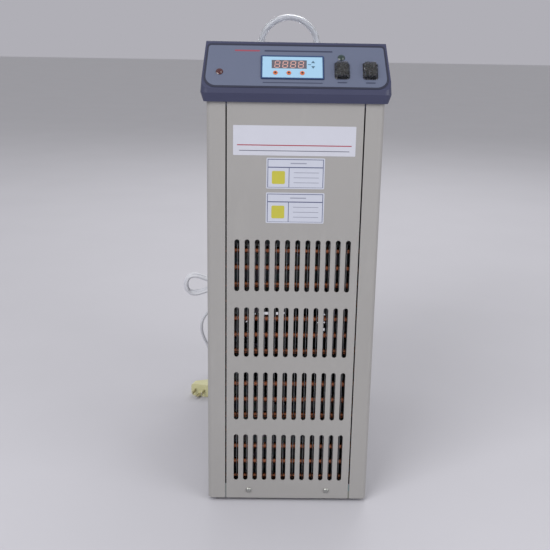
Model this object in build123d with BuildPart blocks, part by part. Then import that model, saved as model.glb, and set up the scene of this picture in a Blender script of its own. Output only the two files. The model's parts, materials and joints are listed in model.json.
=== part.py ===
from build123d import *
import os
from math import cos, pi, radians, sin, tan

os.makedirs("parts", exist_ok=True)

# Millimetres, +Z up, front towards -Y. The origin is on the floor, under the middle of the object.

# Cabinet of folded painted sheet
cabinet_width = 240.0
cabinet_depth = 440.0
cabinet_height = 595.0
sheet = 1.2
corner_radius = 7.0          # front bends of the side panels
fold_radius = 2.0            # all other bends
side_flange = 25.6           # face that a side panel shows at the front
rear_flange = 16.0
front_gap = 2.0              # dark line between a side panel and the grille
fit = 0.2                    # clearance where one sheet part slides against another
foot_height = 6.0
foot_diameter = 20.0
foot_taper = 12.0            # degrees
foot_inset = 30.0
tray_height = 24.0           # upturned edge of the base tray

# Front grille
slot_columns = 12
slot_rows = 4
slot_width = 7.0
slot_length = 76.0
slot_pitch = 14.2
slot_row_pitch = 99.8
slot_row_first = 68.0        # middle of the lowest row above the cabinet's lower edge
grille_return = 10.0         # edge folded back along each side
screw_diameter = 4.0
screw_clearance = 0.1        # radial
screw_head_diameter = 8.0
screw_head_height = 2.4
screw_head_edge = 1.0        # height of the head's straight rim
screw_head_crown = 5.6       # diameter of the head's flat top
screw_length = 8.0
front_screw_x = 58.9
front_screw_z = 13.4

# Rear panel
air_slot_columns = 5
air_slot_rows = 9
air_slot_width = 28.0
air_slot_height = 6.0
air_slot_pitch = 16.0
air_slot_gap = 6.0
air_slot_first = 52.0
rear_screw_rows = 3
rear_screw_margin = 40.0
rear_inset = 3.0             # edge of the rear panel from the cabinet's side

# Moulded head
head_lip = 4.0               # past the cabinet at its lower edge
head_overhang = 8.0          # past the cabinet at its widest line
head_wide_height = 12.0      # widest line above the lower edge
head_taper = 5.2             # degrees, above the widest line
head_corner = 10.0
head_wall = 3.0
head_rim = 3.0               # ledge that sits on the cabinet's top edge
head_rib_depth = 6.0         # locating rib inside the cabinet
head_rib_wall = 2.0
beyond = 60.0                # how far a cutting shape runs past the head
band_height = 18.0           # upright band under the slanted face
face_angle = 51.0
face_length = 76.0
ridge_flat = 7.0
back_angle = 70.0            # slope behind the ridge
deck_height = 32.0           # deck above the head's lower edge
ridge_radius = 3.0

# Control panel, x across and v up the slanted face
fascia_thickness = 0.6
fascia_margin = 2.6
fascia_low_radius = 16.0
fascia_top_radius = 6.0
display_x = -5.2
display_v = 33.8
display_width = 80.5
display_height = 33.4
bezel_width = 1.6
bezel_thickness = 1.6
window_thickness = 1.2
controller_width = 76.0
controller_height = 29.0
controller_depth = 42.0
controller_setback = 2.6     # from the face to the controller's front
digits_x = -9.6
digits_v = 38.4
digits_width = 47.0
digits_height = 13.6
button_names = ("set_button", "down_button", "up_button")
button_x = -28.1
button_v = 24.5
button_pitch = 18.0
button_diameter = 6.0
button_rim = 7.6
button_rim_thickness = 0.9
button_fit = 0.15
button_travel = 0.7
lamp_diameter = 7.6
lamp_rim = 9.4
lamp_rim_thickness = 0.8
lamp_dome = 2.0              # lens above its rim
lamp_depth = 14.0
power_lamp_x = -102.7
power_lamp_v = 25.8
cooling_lamp_x = 60.7
cooling_lamp_v = 50.9

# Rocker switches under clear boots
switch_names = ("pump", "cooling")
switch_x = 61.2
switch_pitch = 37.9
switch_v = 29.9
switch_flange_width = 15.0
switch_flange_height = 21.0
switch_flange_thickness = 1.5
switch_body_width = 12.9
switch_body_height = 18.9
switch_depth = 15.0
switch_well_width = 10.9
switch_well_height = 16.9
switch_well_depth = 6.0
rocker_width = 10.5
rocker_half = 7.3
rocker_rise = 3.9            # rocker's ends above its pin
rocker_dip = 0.7             # hollow of its top
rocker_pin = 2.4
rocker_pin_width = 12.1
rocker_pin_drop = 2.2        # pin below the flange's top
rocker_keel = 3.0
rocker_foot = 2.5
rocker_shoulder = 1.5
rocker_draft = 0.7
rocker_tilt = 10.0
pin_clearance = 0.06
boot_width = 19.4
boot_height = 26.6
boot_base = 1.4
boot_rise = 7.0
boot_taper = 7.0             # degrees
boot_wall = 0.9
boot_ledge = 1.2
boot_radius = 4.0

# Reservoir, its neck and its lid
shelf_height = 418.0         # shelf top above the cabinet's lower edge
shelf_flange = 14.0
tank_y = 240.0               # tank middle behind the cabinet's front face
tank_width = 176.0
tank_length = 180.0
tank_height = 140.0
tank_wall = 1.5
tank_corner = 16.0
tank_flange = 9.0
insulation = 12.0
neck_width = 112.0
neck_length = 92.0
neck_corner = 12.0
neck_wall = 1.5
lid_overlap = 7.0
lid_thickness = 5.0
lid_taper = 10.0             # degrees
lid_skirt = 7.0
lid_skirt_wall = 2.0
lid_fit = 0.6
grip_length = 54.0
grip_width = 14.0
grip_height = 15.0
grip_taper = 6.0             # degrees
coil_radius = 76.0
coil_tube = 9.5
coil_turns = 3.5
coil_pitch = 26.0
coil_lift = 14.0
riser_inset = 12.0
riser_height = 20.0          # above the tank cover

# Hoses and nipples on the deck
nipple_x = 50.0
nipple_y = 400.0
nipple_bore = 5.0
nipple_barb = 7.8
nipple_neck = 6.8
nipple_hex = 16.0
nipple_hex_height = 7.0
nipple_shank = 12.0
nipple_length = 22.0
nut_hex = 18.0
nut_height = 5.0
hose_outer = 11.0
hose_bore = 8.0
arch_radius = 50.0
arch_height = 20.4           # arch's middle above the nipples' hexagons
arch_corners = 6

# Cooling circuit
condenser_width = 176.0
condenser_depth = 30.0
condenser_setback = 14.0
condenser_reach = 94.0       # free tube ends from the middle
condenser_bend = 102.8       # return bends' outermost line from the middle
condenser_tubes = 15
condenser_pitch = 25.8
condenser_lift = 8.0
condenser_tube = 9.5
fin_count = 36
fin_thickness = 0.6
end_plate = 1.5
fan_z = 212.0
fan_diameter = 160.0
fan_blade_count = 5
fan_blade_thickness = 1.6
fan_root_pitch = 40.0        # degrees, blade against the fan's plane
fan_tip_pitch = 22.0
fan_root_chord = 30.0
fan_tip_chord = 62.0
fan_hub = 46.0
fan_hub_overlap = 5.0        # blades run this far into the hub
fan_depth = 24.0
fan_tip_gap = 4.0
fan_bore = 8.0
shaft_clearance = 0.05
plenum = 12.0                # between the condenser and the fan's plate
ring_depth = 26.0
fan_motor_diameter = 82.0
fan_motor_length = 46.0
strut_gap = 2.0
strut_width = 14.0
strut_thickness = 3.0
strut_hole = 14.0
compressor_y = 268.0
compressor_diameter = 144.0
compressor_height = 176.0
compressor_dome = 34.0
compressor_plate = 3.0
compressor_span_x = 158.0
compressor_span_y = 132.0
mount_height = 14.0
mount_diameter = 22.0
terminal_width = 56.0
terminal_height = 62.0
terminal_depth = 24.0
pipe_x = 108.0               # rising pipes beside the compressor
pipe_bend = 10.0
shelf_notch = 18.0
stub_offset = 32.0
suction_z = 70.0
discharge_z = 124.0
line_diameter = 8.0
suction_diameter = 9.5
capillary_diameter = 3.0
stub_length = 10.0
drier_diameter = 19.0
drier_length = 110.0
drier_y = 165.0
drier_z = 74.0

# Pump under the shelf
pump_x = 50.0
pump_z = 320.0
pump_face = 358.0            # front of the pump's casing behind the cabinet's front face
pump_diameter = 72.0
pump_length = 24.0
pump_wall = 3.0
pump_motor_diameter = 66.0
pump_motor_length = 50.0
pump_spigot = 12.0
pump_spigot_length = 18.0
bracket_tab = 12.0           # bracket's ends folded out under the shelf
impeller_diameter = 56.0
impeller_vanes = 6
impeller_shaft = 6.0
tank_outlet_y = 300.0
inner_hose_outer = 16.0

# Drain on the rear panel
drain_x = -60.0
drain_z = 372.0
drain_hex = 22.0
drain_body = 24.0            # length outside the rear panel
drain_spigot = 10.0
drain_spigot_length = 16.0
drain_bore = 6.0
drain_shank = 12.0
lever_length = 34.0
lever_width = 9.0
lever_thickness = 3.0
lever_hub = 13.0
stem_diameter = 5.0
stem_height = 8.0

# Mains lead
gland_x = -70.0
gland_z = 330.0
gland_diameter = 15.0
gland_length = 22.0
gland_flange = 22.0
gland_flange_thickness = 3.0
gland_thread = 9.0           # inside the cabinet
cord_diameter = 6.0
hank_x = -118.5
hank_z = 195.0
hank_gap = 25.0              # between the rear panel and the hank
hank_length = 160.0
hank_height = 44.0
hank_waist = 15.0
hank_depth = 26.0
waist_length = 24.0
lobe_start = 34.0
lobe_end = 66.0
lobe_nose = 20.0
lobe_radius = 8.0
lead_landing = 50.0          # from the hank's middle
tail_landing = 6.0
tie_width = 5.0
tie_thickness = 1.2
tie_gap = 0.3
plug_x = -160.0
plug_y = 388.0               # plug's face behind the cabinet's front face
plug_turn = 18.0             # degrees, its lead end turned towards the cabinet
plug_width = 36.0
plug_thickness = 24.0
plug_block = 16.0            # straight part of the plug's body
plug_length = 38.0
plug_waist = 14.0
plug_sleeve = 10.0
plug_corner = 5.0
plug_pin_length = 16.0
plug_pin_width = 6.4
plug_pin_thickness = 1.6

# Worked out from the sizes above
half_width = cabinet_width / 2
base_z = foot_height
top_z = base_z + cabinet_height
rear_reach = drain_body + drain_spigot_length
front_y = (head_overhang - cabinet_depth - rear_reach) / 2
rear_y = front_y + cabinet_depth
middle_y = front_y + cabinet_depth / 2
grille_width = cabinet_width - 2 * (side_flange + front_gap)
tray_top = base_z + sheet
inner_half = half_width - sheet - fit
inner_corner = corner_radius - sheet
wide_z = top_z + head_wide_height
crease_z = top_z + band_height
crease_overhang = head_overhang - (band_height - head_wide_height) * tan(radians(head_taper))
crease_y = front_y - crease_overhang
ridge_z = crease_z + face_length * sin(radians(face_angle))
ridge_y = crease_y + face_length * cos(radians(face_angle))
ridge_back_y = ridge_y + ridge_flat
deck_z = top_z + deck_height
face_plane = Plane(
    origin=(0, crease_y, crease_z),
    x_dir=(1, 0, 0),
    z_dir=(0, -sin(radians(face_angle)), cos(radians(face_angle))),
)


def save(piece, name):
    piece.label = name
    export_step(piece, f"parts/{name}.step")


def face_point(x, v, rise=0.0):
    return face_plane.from_local_coords(Vector(x, v, rise))


def face_seat(x, v, rise=0.0):
    return Plane(origin=face_point(x, v, rise), x_dir=face_plane.x_dir, z_dir=face_plane.z_dir)


def upright_plane(x, y, z):
    """Sketch plane whose x is the row's X and whose y is the row's Z."""
    return Plane(origin=(x, y, z), x_dir=(1, 0, 0), z_dir=(0, -1, 0))


def turned(x, y, z, outline, axis_dir=(0, 0, 1), across=(1, 0, 0)):
    """A turned piece: the outline holds (radius, height) points along the axis."""
    axis = Vector(*axis_dir)
    plane = Plane(origin=(x, y, z), x_dir=across, z_dir=Vector(*across).cross(axis))
    with BuildPart() as piece:
        with BuildSketch(plane):
            with BuildLine():
                Polyline(*outline, close=True)
            make_face()
        revolve(axis=Axis((x, y, z), axis_dir))
    return piece.part


def bent_tube(points, radii, outer, bore=0.0):
    """A round tube or solid line along straight runs joined by tangent arcs."""
    with BuildPart() as tube:
        with BuildLine() as route:
            FilletPolyline(*points, radius=radii)
        with BuildSketch(Plane(origin=route.line @ 0, z_dir=route.line % 0)):
            Circle(outer / 2)
            if bore:
                Circle(bore / 2, mode=Mode.SUBTRACT)
        sweep(path=route.line)
    return tube.part


def turn_angle(before, corner, after):
    return (Vector(*corner) - Vector(*before)).get_angle(Vector(*after) - Vector(*corner))


def cord_radii(points):
    """As large an arc at each corner as its two runs allow."""
    radii = []
    for before, corner, after in zip(points, points[1:], points[2:]):
        runs = (Vector(*corner) - Vector(*before)).length, (Vector(*after) - Vector(*corner)).length
        half_turn = radians(turn_angle(before, corner, after) / 2)
        radii.append(0.45 * min(runs) / tan(half_turn))
    return radii


def report_cord(name, points, radii, tube, section):
    """Print the bends, and the tube's volume against its section times its length."""
    with BuildLine() as route:
        FilletPolyline(*points, radius=radii)
    length = route.wire().length
    print(name, "length", round(length, 1), "radii", [round(r, 1) for r in radii])
    print(name, "volume ratio", round(tube.volume / (section * length), 4))


# Feet, under the tray's corners
foot_x = half_width - foot_inset
foot_span_y = cabinet_depth - 2 * foot_inset
with BuildPart() as feet:
    with BuildSketch(Plane.XY.offset(base_z)):
        with Locations((0, middle_y)):
            with GridLocations(2 * foot_x, foot_span_y, 2, 2):
                Circle(foot_diameter / 2)
    extrude(amount=-foot_height, taper=foot_taper)
save(feet.part, "feet")

# Base tray, folded up on all four sides
tray_width = cabinet_width - 2 * (sheet + fit)
tray_front = front_y + sheet
tray_rear = rear_y - 2 * sheet
tray_length = tray_rear - tray_front
tray_plane = Plane(origin=(0, (tray_front + tray_rear) / 2, base_z))
with BuildPart() as base_tray:
    with BuildSketch(tray_plane):
        RectangleRounded(tray_width, tray_length, inner_corner)
    extrude(amount=tray_height)
    with BuildSketch(tray_plane.offset(sheet)):
        RectangleRounded(tray_width - 2 * sheet, tray_length - 2 * sheet, inner_corner - sheet)
    extrude(amount=tray_height, mode=Mode.SUBTRACT)
    with BuildSketch(upright_plane(0, tray_front, base_z + front_screw_z)):
        with GridLocations(2 * front_screw_x, 0, 2, 1):
            Circle(screw_diameter / 2 + screw_clearance)
    extrude(amount=-sheet, mode=Mode.SUBTRACT)
save(base_tray.part, "base_tray")

# Side panels, each one sheet folded round the front and rear corners
rear_screw_x = half_width - rear_flange / 2
rear_screw_pitch = (cabinet_height - 2 * rear_screw_margin) / (rear_screw_rows - 1)
rear_screw_plane = upright_plane(0, rear_y, base_z + cabinet_height / 2)
side_middle = half_width - sheet / 2
side_rear = rear_y - sheet


def side_panel(side):
    with BuildPart() as panel:
        with BuildSketch(Plane.XY.offset(base_z)):
            with BuildLine() as section:
                FilletPolyline(
                    (side * (half_width - side_flange), front_y + sheet / 2),
                    (side * side_middle, front_y + sheet / 2),
                    (side * side_middle, side_rear - sheet / 2),
                    (side * (half_width - rear_flange), side_rear - sheet / 2),
                    radius=[corner_radius - sheet / 2, fold_radius],
                )
            trace(section.line, line_width=sheet)
        extrude(amount=cabinet_height)
        with BuildSketch(rear_screw_plane):
            with Locations((side * rear_screw_x, 0)):
                with GridLocations(0, rear_screw_pitch, 1, rear_screw_rows):
                    Circle(screw_diameter / 2 + screw_clearance)
        extrude(amount=2 * sheet, mode=Mode.SUBTRACT)
    return panel.part


for panel_name, side in (("left_side_panel", -1), ("right_side_panel", 1)):
    save(side_panel(side), panel_name)

# Front grille, flush between the side panels, its sides folded back above the tray
grille_plane = upright_plane(0, front_y, base_z)
slot_middle = slot_row_first + slot_row_pitch * (slot_rows - 1) / 2
return_low = tray_height + 2 * sheet
return_high = cabinet_height - head_rib_depth - sheet
with BuildPart() as front_grille:
    with BuildSketch(grille_plane):
        with Locations((0, cabinet_height / 2)):
            Rectangle(grille_width, cabinet_height)
        with Locations((0, slot_middle)):
            with GridLocations(slot_pitch, slot_row_pitch, slot_columns, slot_rows):
                SlotOverall(slot_length, slot_width, rotation=90, mode=Mode.SUBTRACT)
        with Locations((0, front_screw_z)):
            with GridLocations(2 * front_screw_x, 0, 2, 1):
                Circle(screw_diameter / 2 + screw_clearance, mode=Mode.SUBTRACT)
    extrude(amount=-sheet)
    with BuildSketch(grille_plane.offset(-sheet)):
        with Locations((0, (return_high + return_low) / 2)):
            with GridLocations(grille_width - sheet, 0, 2, 1):
                Rectangle(sheet, return_high - return_low)
    extrude(amount=-grille_return)
save(front_grille.part, "front_grille")


def pan_screw(x, y, z, out):
    """A pan head screw: its head stands on the point, its shank goes in."""
    head, shank = screw_head_diameter / 2, screw_diameter / 2
    outline = (
        (0, -screw_length),
        (shank, -screw_length),
        (shank, 0),
        (head, 0),
        (head, screw_head_edge),
        (screw_head_crown / 2, screw_head_height),
        (0, screw_head_height),
    )
    return turned(x, y, z, outline, axis_dir=out)


with BuildPart() as panel_screws:
    for side in (-1, 1):
        add(pan_screw(side * front_screw_x, front_y, base_z + front_screw_z, (0, -1, 0)))
        for row in range(rear_screw_rows):
            row_z = base_z + rear_screw_margin + row * rear_screw_pitch
            add(pan_screw(side * rear_screw_x, rear_y, row_z, (0, 1, 0)))
save(panel_screws.part, "panel_screws")

# Rear panel over the side panels' rear flanges, slotted for the outgoing air
air_middle = air_slot_first + (air_slot_rows - 1) * air_slot_pitch / 2
with BuildPart() as rear_panel:
    with BuildSketch(upright_plane(0, rear_y, base_z)):
        with Locations((0, cabinet_height / 2)):
            Rectangle(cabinet_width - 2 * rear_inset, cabinet_height)
        with Locations((0, air_middle)):
            with GridLocations(
                air_slot_width + air_slot_gap, air_slot_pitch, air_slot_columns, air_slot_rows
            ):
                Rectangle(air_slot_width, air_slot_height, mode=Mode.SUBTRACT)
        with Locations((drain_x, drain_z)):
            Circle(drain_shank / 2 + fit, mode=Mode.SUBTRACT)
        with Locations((gland_x, gland_z)):
            Circle(gland_diameter / 2 + fit, mode=Mode.SUBTRACT)
        with Locations((0, cabinet_height / 2)):
            with GridLocations(2 * rear_screw_x, rear_screw_pitch, 2, rear_screw_rows):
                Circle(screw_diameter / 2 + screw_clearance, mode=Mode.SUBTRACT)
    extrude(amount=sheet)
save(rear_panel.part, "rear_panel")


# Moulded head: console in front, deck behind
def sky_outline(inset):
    """Closed YZ outline of what lies above the head's top surface, moved inwards by inset."""
    slope, back = radians(face_angle), radians(back_angle)
    near_y, near_z = crease_y + inset * sin(slope), crease_z - inset * cos(slope)
    crest_z, floor_z = ridge_z - inset, deck_z - inset
    crest_back_y = ridge_back_y + inset / tan(back) - inset / sin(back)
    return (
        (near_y - (near_z - top_z) / tan(slope), top_z),
        (near_y + (crest_z - near_z) / tan(slope), crest_z),
        (crest_back_y, crest_z),
        (crest_back_y + (crest_z - floor_z) / tan(back), floor_z),
        (rear_y + beyond, floor_z),
        (rear_y + beyond, ridge_z + beyond),
        (front_y - beyond, ridge_z + beyond),
        (front_y - beyond, top_z),
    )


def head_form(inset, low_z):
    """The head's whole shape, every face moved inwards by inset, down to low_z."""
    lip_taper = (head_overhang - head_lip) / head_wide_height
    widest = Plane(origin=(0, middle_y, wide_z))
    low_inset = inset + lip_taper * (wide_z - low_z)
    with BuildPart() as form:
        with BuildSketch(widest):
            RectangleRounded(
                cabinet_width + 2 * (head_overhang - inset),
                cabinet_depth + 2 * (head_overhang - inset),
                head_corner - inset,
            )
        extrude(amount=ridge_z - wide_z, taper=head_taper)
        for level, shrink in ((wide_z, inset), (low_z, low_inset)):
            with BuildSketch(Plane(origin=(0, middle_y, level))):
                RectangleRounded(
                    cabinet_width + 2 * (head_overhang - shrink),
                    cabinet_depth + 2 * (head_overhang - shrink),
                    head_corner - shrink,
                )
        loft()
        with BuildSketch(Plane.YZ.offset(-half_width - beyond)):
            with BuildLine():
                Polyline(*sky_outline(inset), close=True)
            make_face()
        extrude(amount=2 * (half_width + beyond), mode=Mode.SUBTRACT)
    return form.part


def panel_openings(mode=Mode.ADD):
    """Cut-outs that the slanted face and the fascia share."""
    with Locations((display_x, display_v)):
        Rectangle(controller_width + 2 * fit, controller_height + 2 * fit, mode=mode)
    with Locations((power_lamp_x, power_lamp_v), (cooling_lamp_x, cooling_lamp_v)):
        Circle(lamp_diameter / 2 + fit, mode=mode)
    with Locations(*((switch_x + i * switch_pitch, switch_v) for i in range(len(switch_names)))):
        Rectangle(switch_body_width + 2 * fit, switch_body_height + 2 * fit, mode=mode)


rib_width = cabinet_width - 2 * (sheet + fit)
rib_front = front_y + sheet + fit
rib_rear = rear_y - 2 * sheet - fit
rib_plane = Plane(origin=(0, (rib_front + rib_rear) / 2, top_z - head_rib_depth))
with BuildPart() as head_cover:
    add(head_form(0, top_z))
    fillet(head_cover.edges().filter_by(Axis.X).group_by(Axis.Z)[-1], ridge_radius)
    add(head_form(head_wall, top_z + head_rim), mode=Mode.SUBTRACT)
    with BuildSketch(rib_plane):
        RectangleRounded(rib_width, rib_rear - rib_front, inner_corner)
    extrude(amount=head_rib_depth + head_rim)
    with BuildSketch(rib_plane):
        RectangleRounded(
            rib_width - 2 * head_rib_wall,
            rib_rear - rib_front - 2 * head_rib_wall,
            inner_corner - head_rib_wall,
        )
    extrude(amount=head_rib_depth + head_rim, mode=Mode.SUBTRACT)
    with BuildSketch(face_plane):
        panel_openings()
    extrude(amount=-2 * head_wall, mode=Mode.SUBTRACT)
    with BuildSketch(Plane.XY.offset(deck_z)):
        with Locations((0, front_y + tank_y)):
            RectangleRounded(neck_width, neck_length, neck_corner)
        with Locations((0, front_y + nipple_y)):
            with GridLocations(2 * nipple_x, 0, 2, 1):
                Circle(nipple_shank / 2 + fit)
    extrude(amount=-head_wall, mode=Mode.SUBTRACT)
save(head_cover.part, "head_cover")


# Fascia film on the slanted face
def face_half_width(v):
    return half_width + crease_overhang - v * sin(radians(face_angle)) * tan(radians(head_taper))


fascia_low = fascia_margin / 2
fascia_top = face_length - ridge_radius - fascia_margin / 2
with BuildPart() as fascia:
    with BuildSketch(face_plane) as fascia_outline:
        with BuildLine():
            Polyline(
                (face_half_width(fascia_low) - fascia_margin, fascia_low),
                (face_half_width(fascia_top) - fascia_margin, fascia_top),
                (fascia_margin - face_half_width(fascia_top), fascia_top),
                (fascia_margin - face_half_width(fascia_low), fascia_low),
                close=True,
            )
        make_face()
        fillet(fascia_outline.vertices().group_by(Axis.Y)[0], fascia_low_radius)
        fillet(fascia_outline.vertices().group_by(Axis.Y)[-1], fascia_top_radius)
        panel_openings(Mode.SUBTRACT)
    extrude(amount=fascia_thickness)
save(fascia.part, "fascia")

# Temperature controller: one case with its bezel, a window and a digit display
display_seat = face_seat(display_x, display_v, fascia_thickness)
controller_front = face_seat(display_x, display_v, -controller_setback)
with BuildPart() as controller_case:
    with BuildSketch(display_seat):
        RectangleRounded(
            display_width + 2 * (bezel_width + fit), display_height + 2 * (bezel_width + fit), bezel_width
        )
        Rectangle(display_width + 2 * fit, display_height + 2 * fit, mode=Mode.SUBTRACT)
    extrude(amount=bezel_thickness)
    with BuildSketch(controller_front):
        Rectangle(controller_width, controller_height)
    extrude(amount=-controller_depth)
save(controller_case.part, "controller_case")

digits_offset = (digits_x - display_x, digits_v - display_v)
button_offsets = [(button_x + i * button_pitch - display_x, button_v - display_v) for i in range(3)]
with BuildPart() as display_window:
    with BuildSketch(display_seat):
        Rectangle(display_width, display_height)
        with Locations(digits_offset):
            Rectangle(digits_width, digits_height, mode=Mode.SUBTRACT)
        with Locations(*button_offsets):
            Circle(button_diameter / 2 + button_fit, mode=Mode.SUBTRACT)
    extrude(amount=window_thickness)
save(display_window.part, "display_window")

with BuildPart() as digit_display:
    with BuildSketch(controller_front):
        with Locations(digits_offset):
            Rectangle(digits_width - fit, digits_height - fit)
    extrude(amount=controller_setback + fascia_thickness + window_thickness - fit)
save(digit_display.part, "digit_display")

rim_top = fascia_thickness - fit
button_proud = button_travel + fit
for i, name in enumerate(button_names):
    with BuildPart() as button:
        with BuildSketch(face_seat(button_x + i * button_pitch, button_v, rim_top)):
            Circle(button_rim / 2)
        extrude(amount=-button_rim_thickness)
        with BuildSketch(face_seat(button_x + i * button_pitch, button_v, rim_top)):
            Circle(button_diameter / 2)
        extrude(amount=fit + window_thickness + button_proud)
        fillet(button.faces().sort_by(Axis((0, 0, 0), face_plane.z_dir))[-1].edges(), button_proud / 2)
    save(button.part, name)

# Pilot lamps
lamp_bore = lamp_diameter / 2
lamp_edge = lamp_rim / 2
lamp_top = fascia_thickness + lamp_rim_thickness
lamp_outline = (
    (0, -lamp_depth),
    (lamp_bore, -lamp_depth),
    (lamp_bore, fascia_thickness),
    (lamp_edge, fascia_thickness),
    (lamp_edge, lamp_top),
    (lamp_bore, lamp_top + lamp_dome / 5),
    (0.6 * lamp_bore, lamp_top + 0.8 * lamp_dome),
    (0, lamp_top + lamp_dome),
)
for name, x, v in (
    ("power_lamp", power_lamp_x, power_lamp_v),
    ("cooling_lamp", cooling_lamp_x, cooling_lamp_v),
):
    save(turned(*face_point(x, v), lamp_outline, axis_dir=tuple(face_plane.z_dir)), name)

# Rocker switches, each a body, a rocker on its pins and a clear boot
pin_rise = switch_flange_thickness - rocker_pin_drop


def pin_plane(x, tilt=0.0):
    """Across the switch at the rocker's pin: x up the slope, y out of the face."""
    spot = face_point(x, switch_v, fascia_thickness + pin_rise)
    return Plane(origin=spot, x_dir=face_plane.y_dir.rotate(Axis.X, tilt), z_dir=(1, 0, 0))


rocker_side = rocker_half - rocker_draft
rocker_outline = (
    (-rocker_half, rocker_rise),
    (0, rocker_rise - rocker_dip),
    (rocker_half, rocker_rise),
    (rocker_side, -rocker_shoulder),
    (rocker_foot, -rocker_keel),
    (-rocker_foot, -rocker_keel),
    (-rocker_side, -rocker_shoulder),
)
for i, name in enumerate(switch_names):
    x = switch_x + i * switch_pitch
    seat = face_seat(x, switch_v, fascia_thickness)
    with BuildPart() as switch_body:
        with BuildSketch(seat):
            RectangleRounded(switch_flange_width, switch_flange_height, switch_flange_thickness)
        extrude(amount=switch_flange_thickness)
        with BuildSketch(seat):
            Rectangle(switch_body_width, switch_body_height)
        extrude(amount=-switch_depth)
        with BuildSketch(seat.offset(switch_flange_thickness)):
            Rectangle(switch_well_width, switch_well_height)
        extrude(amount=-switch_well_depth, mode=Mode.SUBTRACT)
        with BuildSketch(pin_plane(x)):
            Circle(rocker_pin / 2 + pin_clearance)
        extrude(amount=switch_body_width / 2, both=True, mode=Mode.SUBTRACT)
    save(switch_body.part, f"{name}_switch_body")
    with BuildPart() as rocker:
        with BuildSketch(pin_plane(x, rocker_tilt)):
            with BuildLine():
                Polyline(*rocker_outline, close=True)
            make_face()
        extrude(amount=rocker_width / 2, both=True)
        with BuildSketch(pin_plane(x)):
            Circle(rocker_pin / 2)
        extrude(amount=rocker_pin_width / 2, both=True)
    save(rocker.part, f"{name}_switch_rocker")
    with BuildPart() as boot:
        with BuildSketch(seat):
            RectangleRounded(boot_width, boot_height, boot_radius)
        extrude(amount=boot_base)
        with BuildSketch(seat):
            RectangleRounded(
                boot_width - 2 * boot_ledge, boot_height - 2 * boot_ledge, boot_radius - boot_ledge
            )
        extrude(amount=boot_rise, taper=boot_taper)
        fillet(boot.faces().sort_by(Axis((0, 0, 0), face_plane.z_dir))[-1].edges(), 2 * boot_wall)
        with BuildSketch(seat):
            RectangleRounded(
                switch_flange_width + 2 * fit, switch_flange_height + 2 * fit, switch_flange_thickness
            )
        extrude(amount=boot_rise - boot_wall, taper=boot_taper, mode=Mode.SUBTRACT)
    save(boot.part, f"{name}_switch_boot")

# Shelf across the cabinet, under the tank, notched for the rising pipes
shelf_top = base_z + shelf_height
shelf_front = front_y + condenser_setback + condenser_depth + plenum + sheet
shelf_length = tray_rear - fit - shelf_front
suction_y = front_y + compressor_y + stub_offset
discharge_y = front_y + compressor_y - stub_offset
tank_middle = front_y + tank_y
outlet_y = front_y + tank_outlet_y
pump_front = front_y + pump_face
spigot_y = pump_front + pump_length / 2
notch_edge = pipe_x - shelf_notch / 2
notch_width = inner_half + sheet - notch_edge
spigot_hole = pump_spigot / 2 + fit
with BuildPart() as tank_shelf:
    shelf_plane = Plane(origin=(0, shelf_front + shelf_length / 2, shelf_top))
    with BuildSketch(shelf_plane):
        RectangleRounded(2 * inner_half, shelf_length, fold_radius)
    extrude(amount=-sheet)
    with BuildSketch(shelf_plane):
        with GridLocations(2 * inner_half - sheet, 0, 2, 1):
            Rectangle(sheet, shelf_length - 2 * fold_radius)
        with Locations((0, (sheet - shelf_length) / 2)):
            Rectangle(2 * (inner_half - fold_radius), sheet)
    extrude(amount=-shelf_flange)
    with BuildSketch(Plane.XY.offset(shelf_top)):
        for side, notch_y in ((1, suction_y), (-1, front_y + drier_y)):
            with Locations((side * (notch_edge + notch_width / 2), notch_y)):
                Rectangle(notch_width, shelf_notch)
        with Locations((pump_x, outlet_y), (drain_x, outlet_y)):
            Circle(spigot_hole)
        with Locations((pump_x, spigot_y)):
            Circle(inner_hose_outer / 2 + 2 * fit)
    extrude(amount=-shelf_flange, mode=Mode.SUBTRACT)
save(tank_shelf.part, "tank_shelf")

# Tank of folded stainless sheet, in its insulation
tank_bottom = shelf_top + insulation
tank_top = tank_bottom + tank_height
cover_top = tank_top + 2 * tank_wall
spigot_low = shelf_top - sheet - shelf_flange
return_z = tank_top - 2 * insulation
tank_back = tank_middle + tank_length / 2
spigot_bore = pump_spigot / 2 - tank_wall
tank_places = ((pump_x, outlet_y), (drain_x, outlet_y))
with BuildPart() as tank:
    with BuildSketch(Plane(origin=(0, tank_middle, tank_bottom))):
        RectangleRounded(tank_width, tank_length, tank_corner)
    extrude(amount=tank_height)
    with BuildSketch(Plane(origin=(0, tank_middle, tank_top))):
        RectangleRounded(tank_width + 2 * tank_flange, tank_length + 2 * tank_flange, tank_corner)
    extrude(amount=tank_wall)
    with BuildSketch(Plane.XY.offset(spigot_low)):
        with Locations(*tank_places):
            Circle(pump_spigot / 2)
    extrude(amount=tank_bottom - spigot_low)
    with BuildSketch(upright_plane(-nipple_x, tank_back, return_z)):
        Circle(pump_spigot / 2)
    extrude(amount=-2 * insulation)
    with BuildSketch(Plane(origin=(0, tank_middle, tank_bottom + tank_wall))):
        RectangleRounded(tank_width - 2 * tank_wall, tank_length - 2 * tank_wall, tank_corner - tank_wall)
    extrude(amount=tank_height, mode=Mode.SUBTRACT)
    with BuildSketch(Plane.XY.offset(spigot_low)):
        with Locations(*tank_places):
            Circle(spigot_bore)
    extrude(amount=tank_bottom + tank_wall - spigot_low, mode=Mode.SUBTRACT)
    with BuildSketch(upright_plane(-nipple_x, tank_back - 2 * tank_wall, return_z)):
        Circle(spigot_bore)
    extrude(amount=-2 * insulation - 2 * tank_wall, mode=Mode.SUBTRACT)
save(tank.part, "tank")

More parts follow.
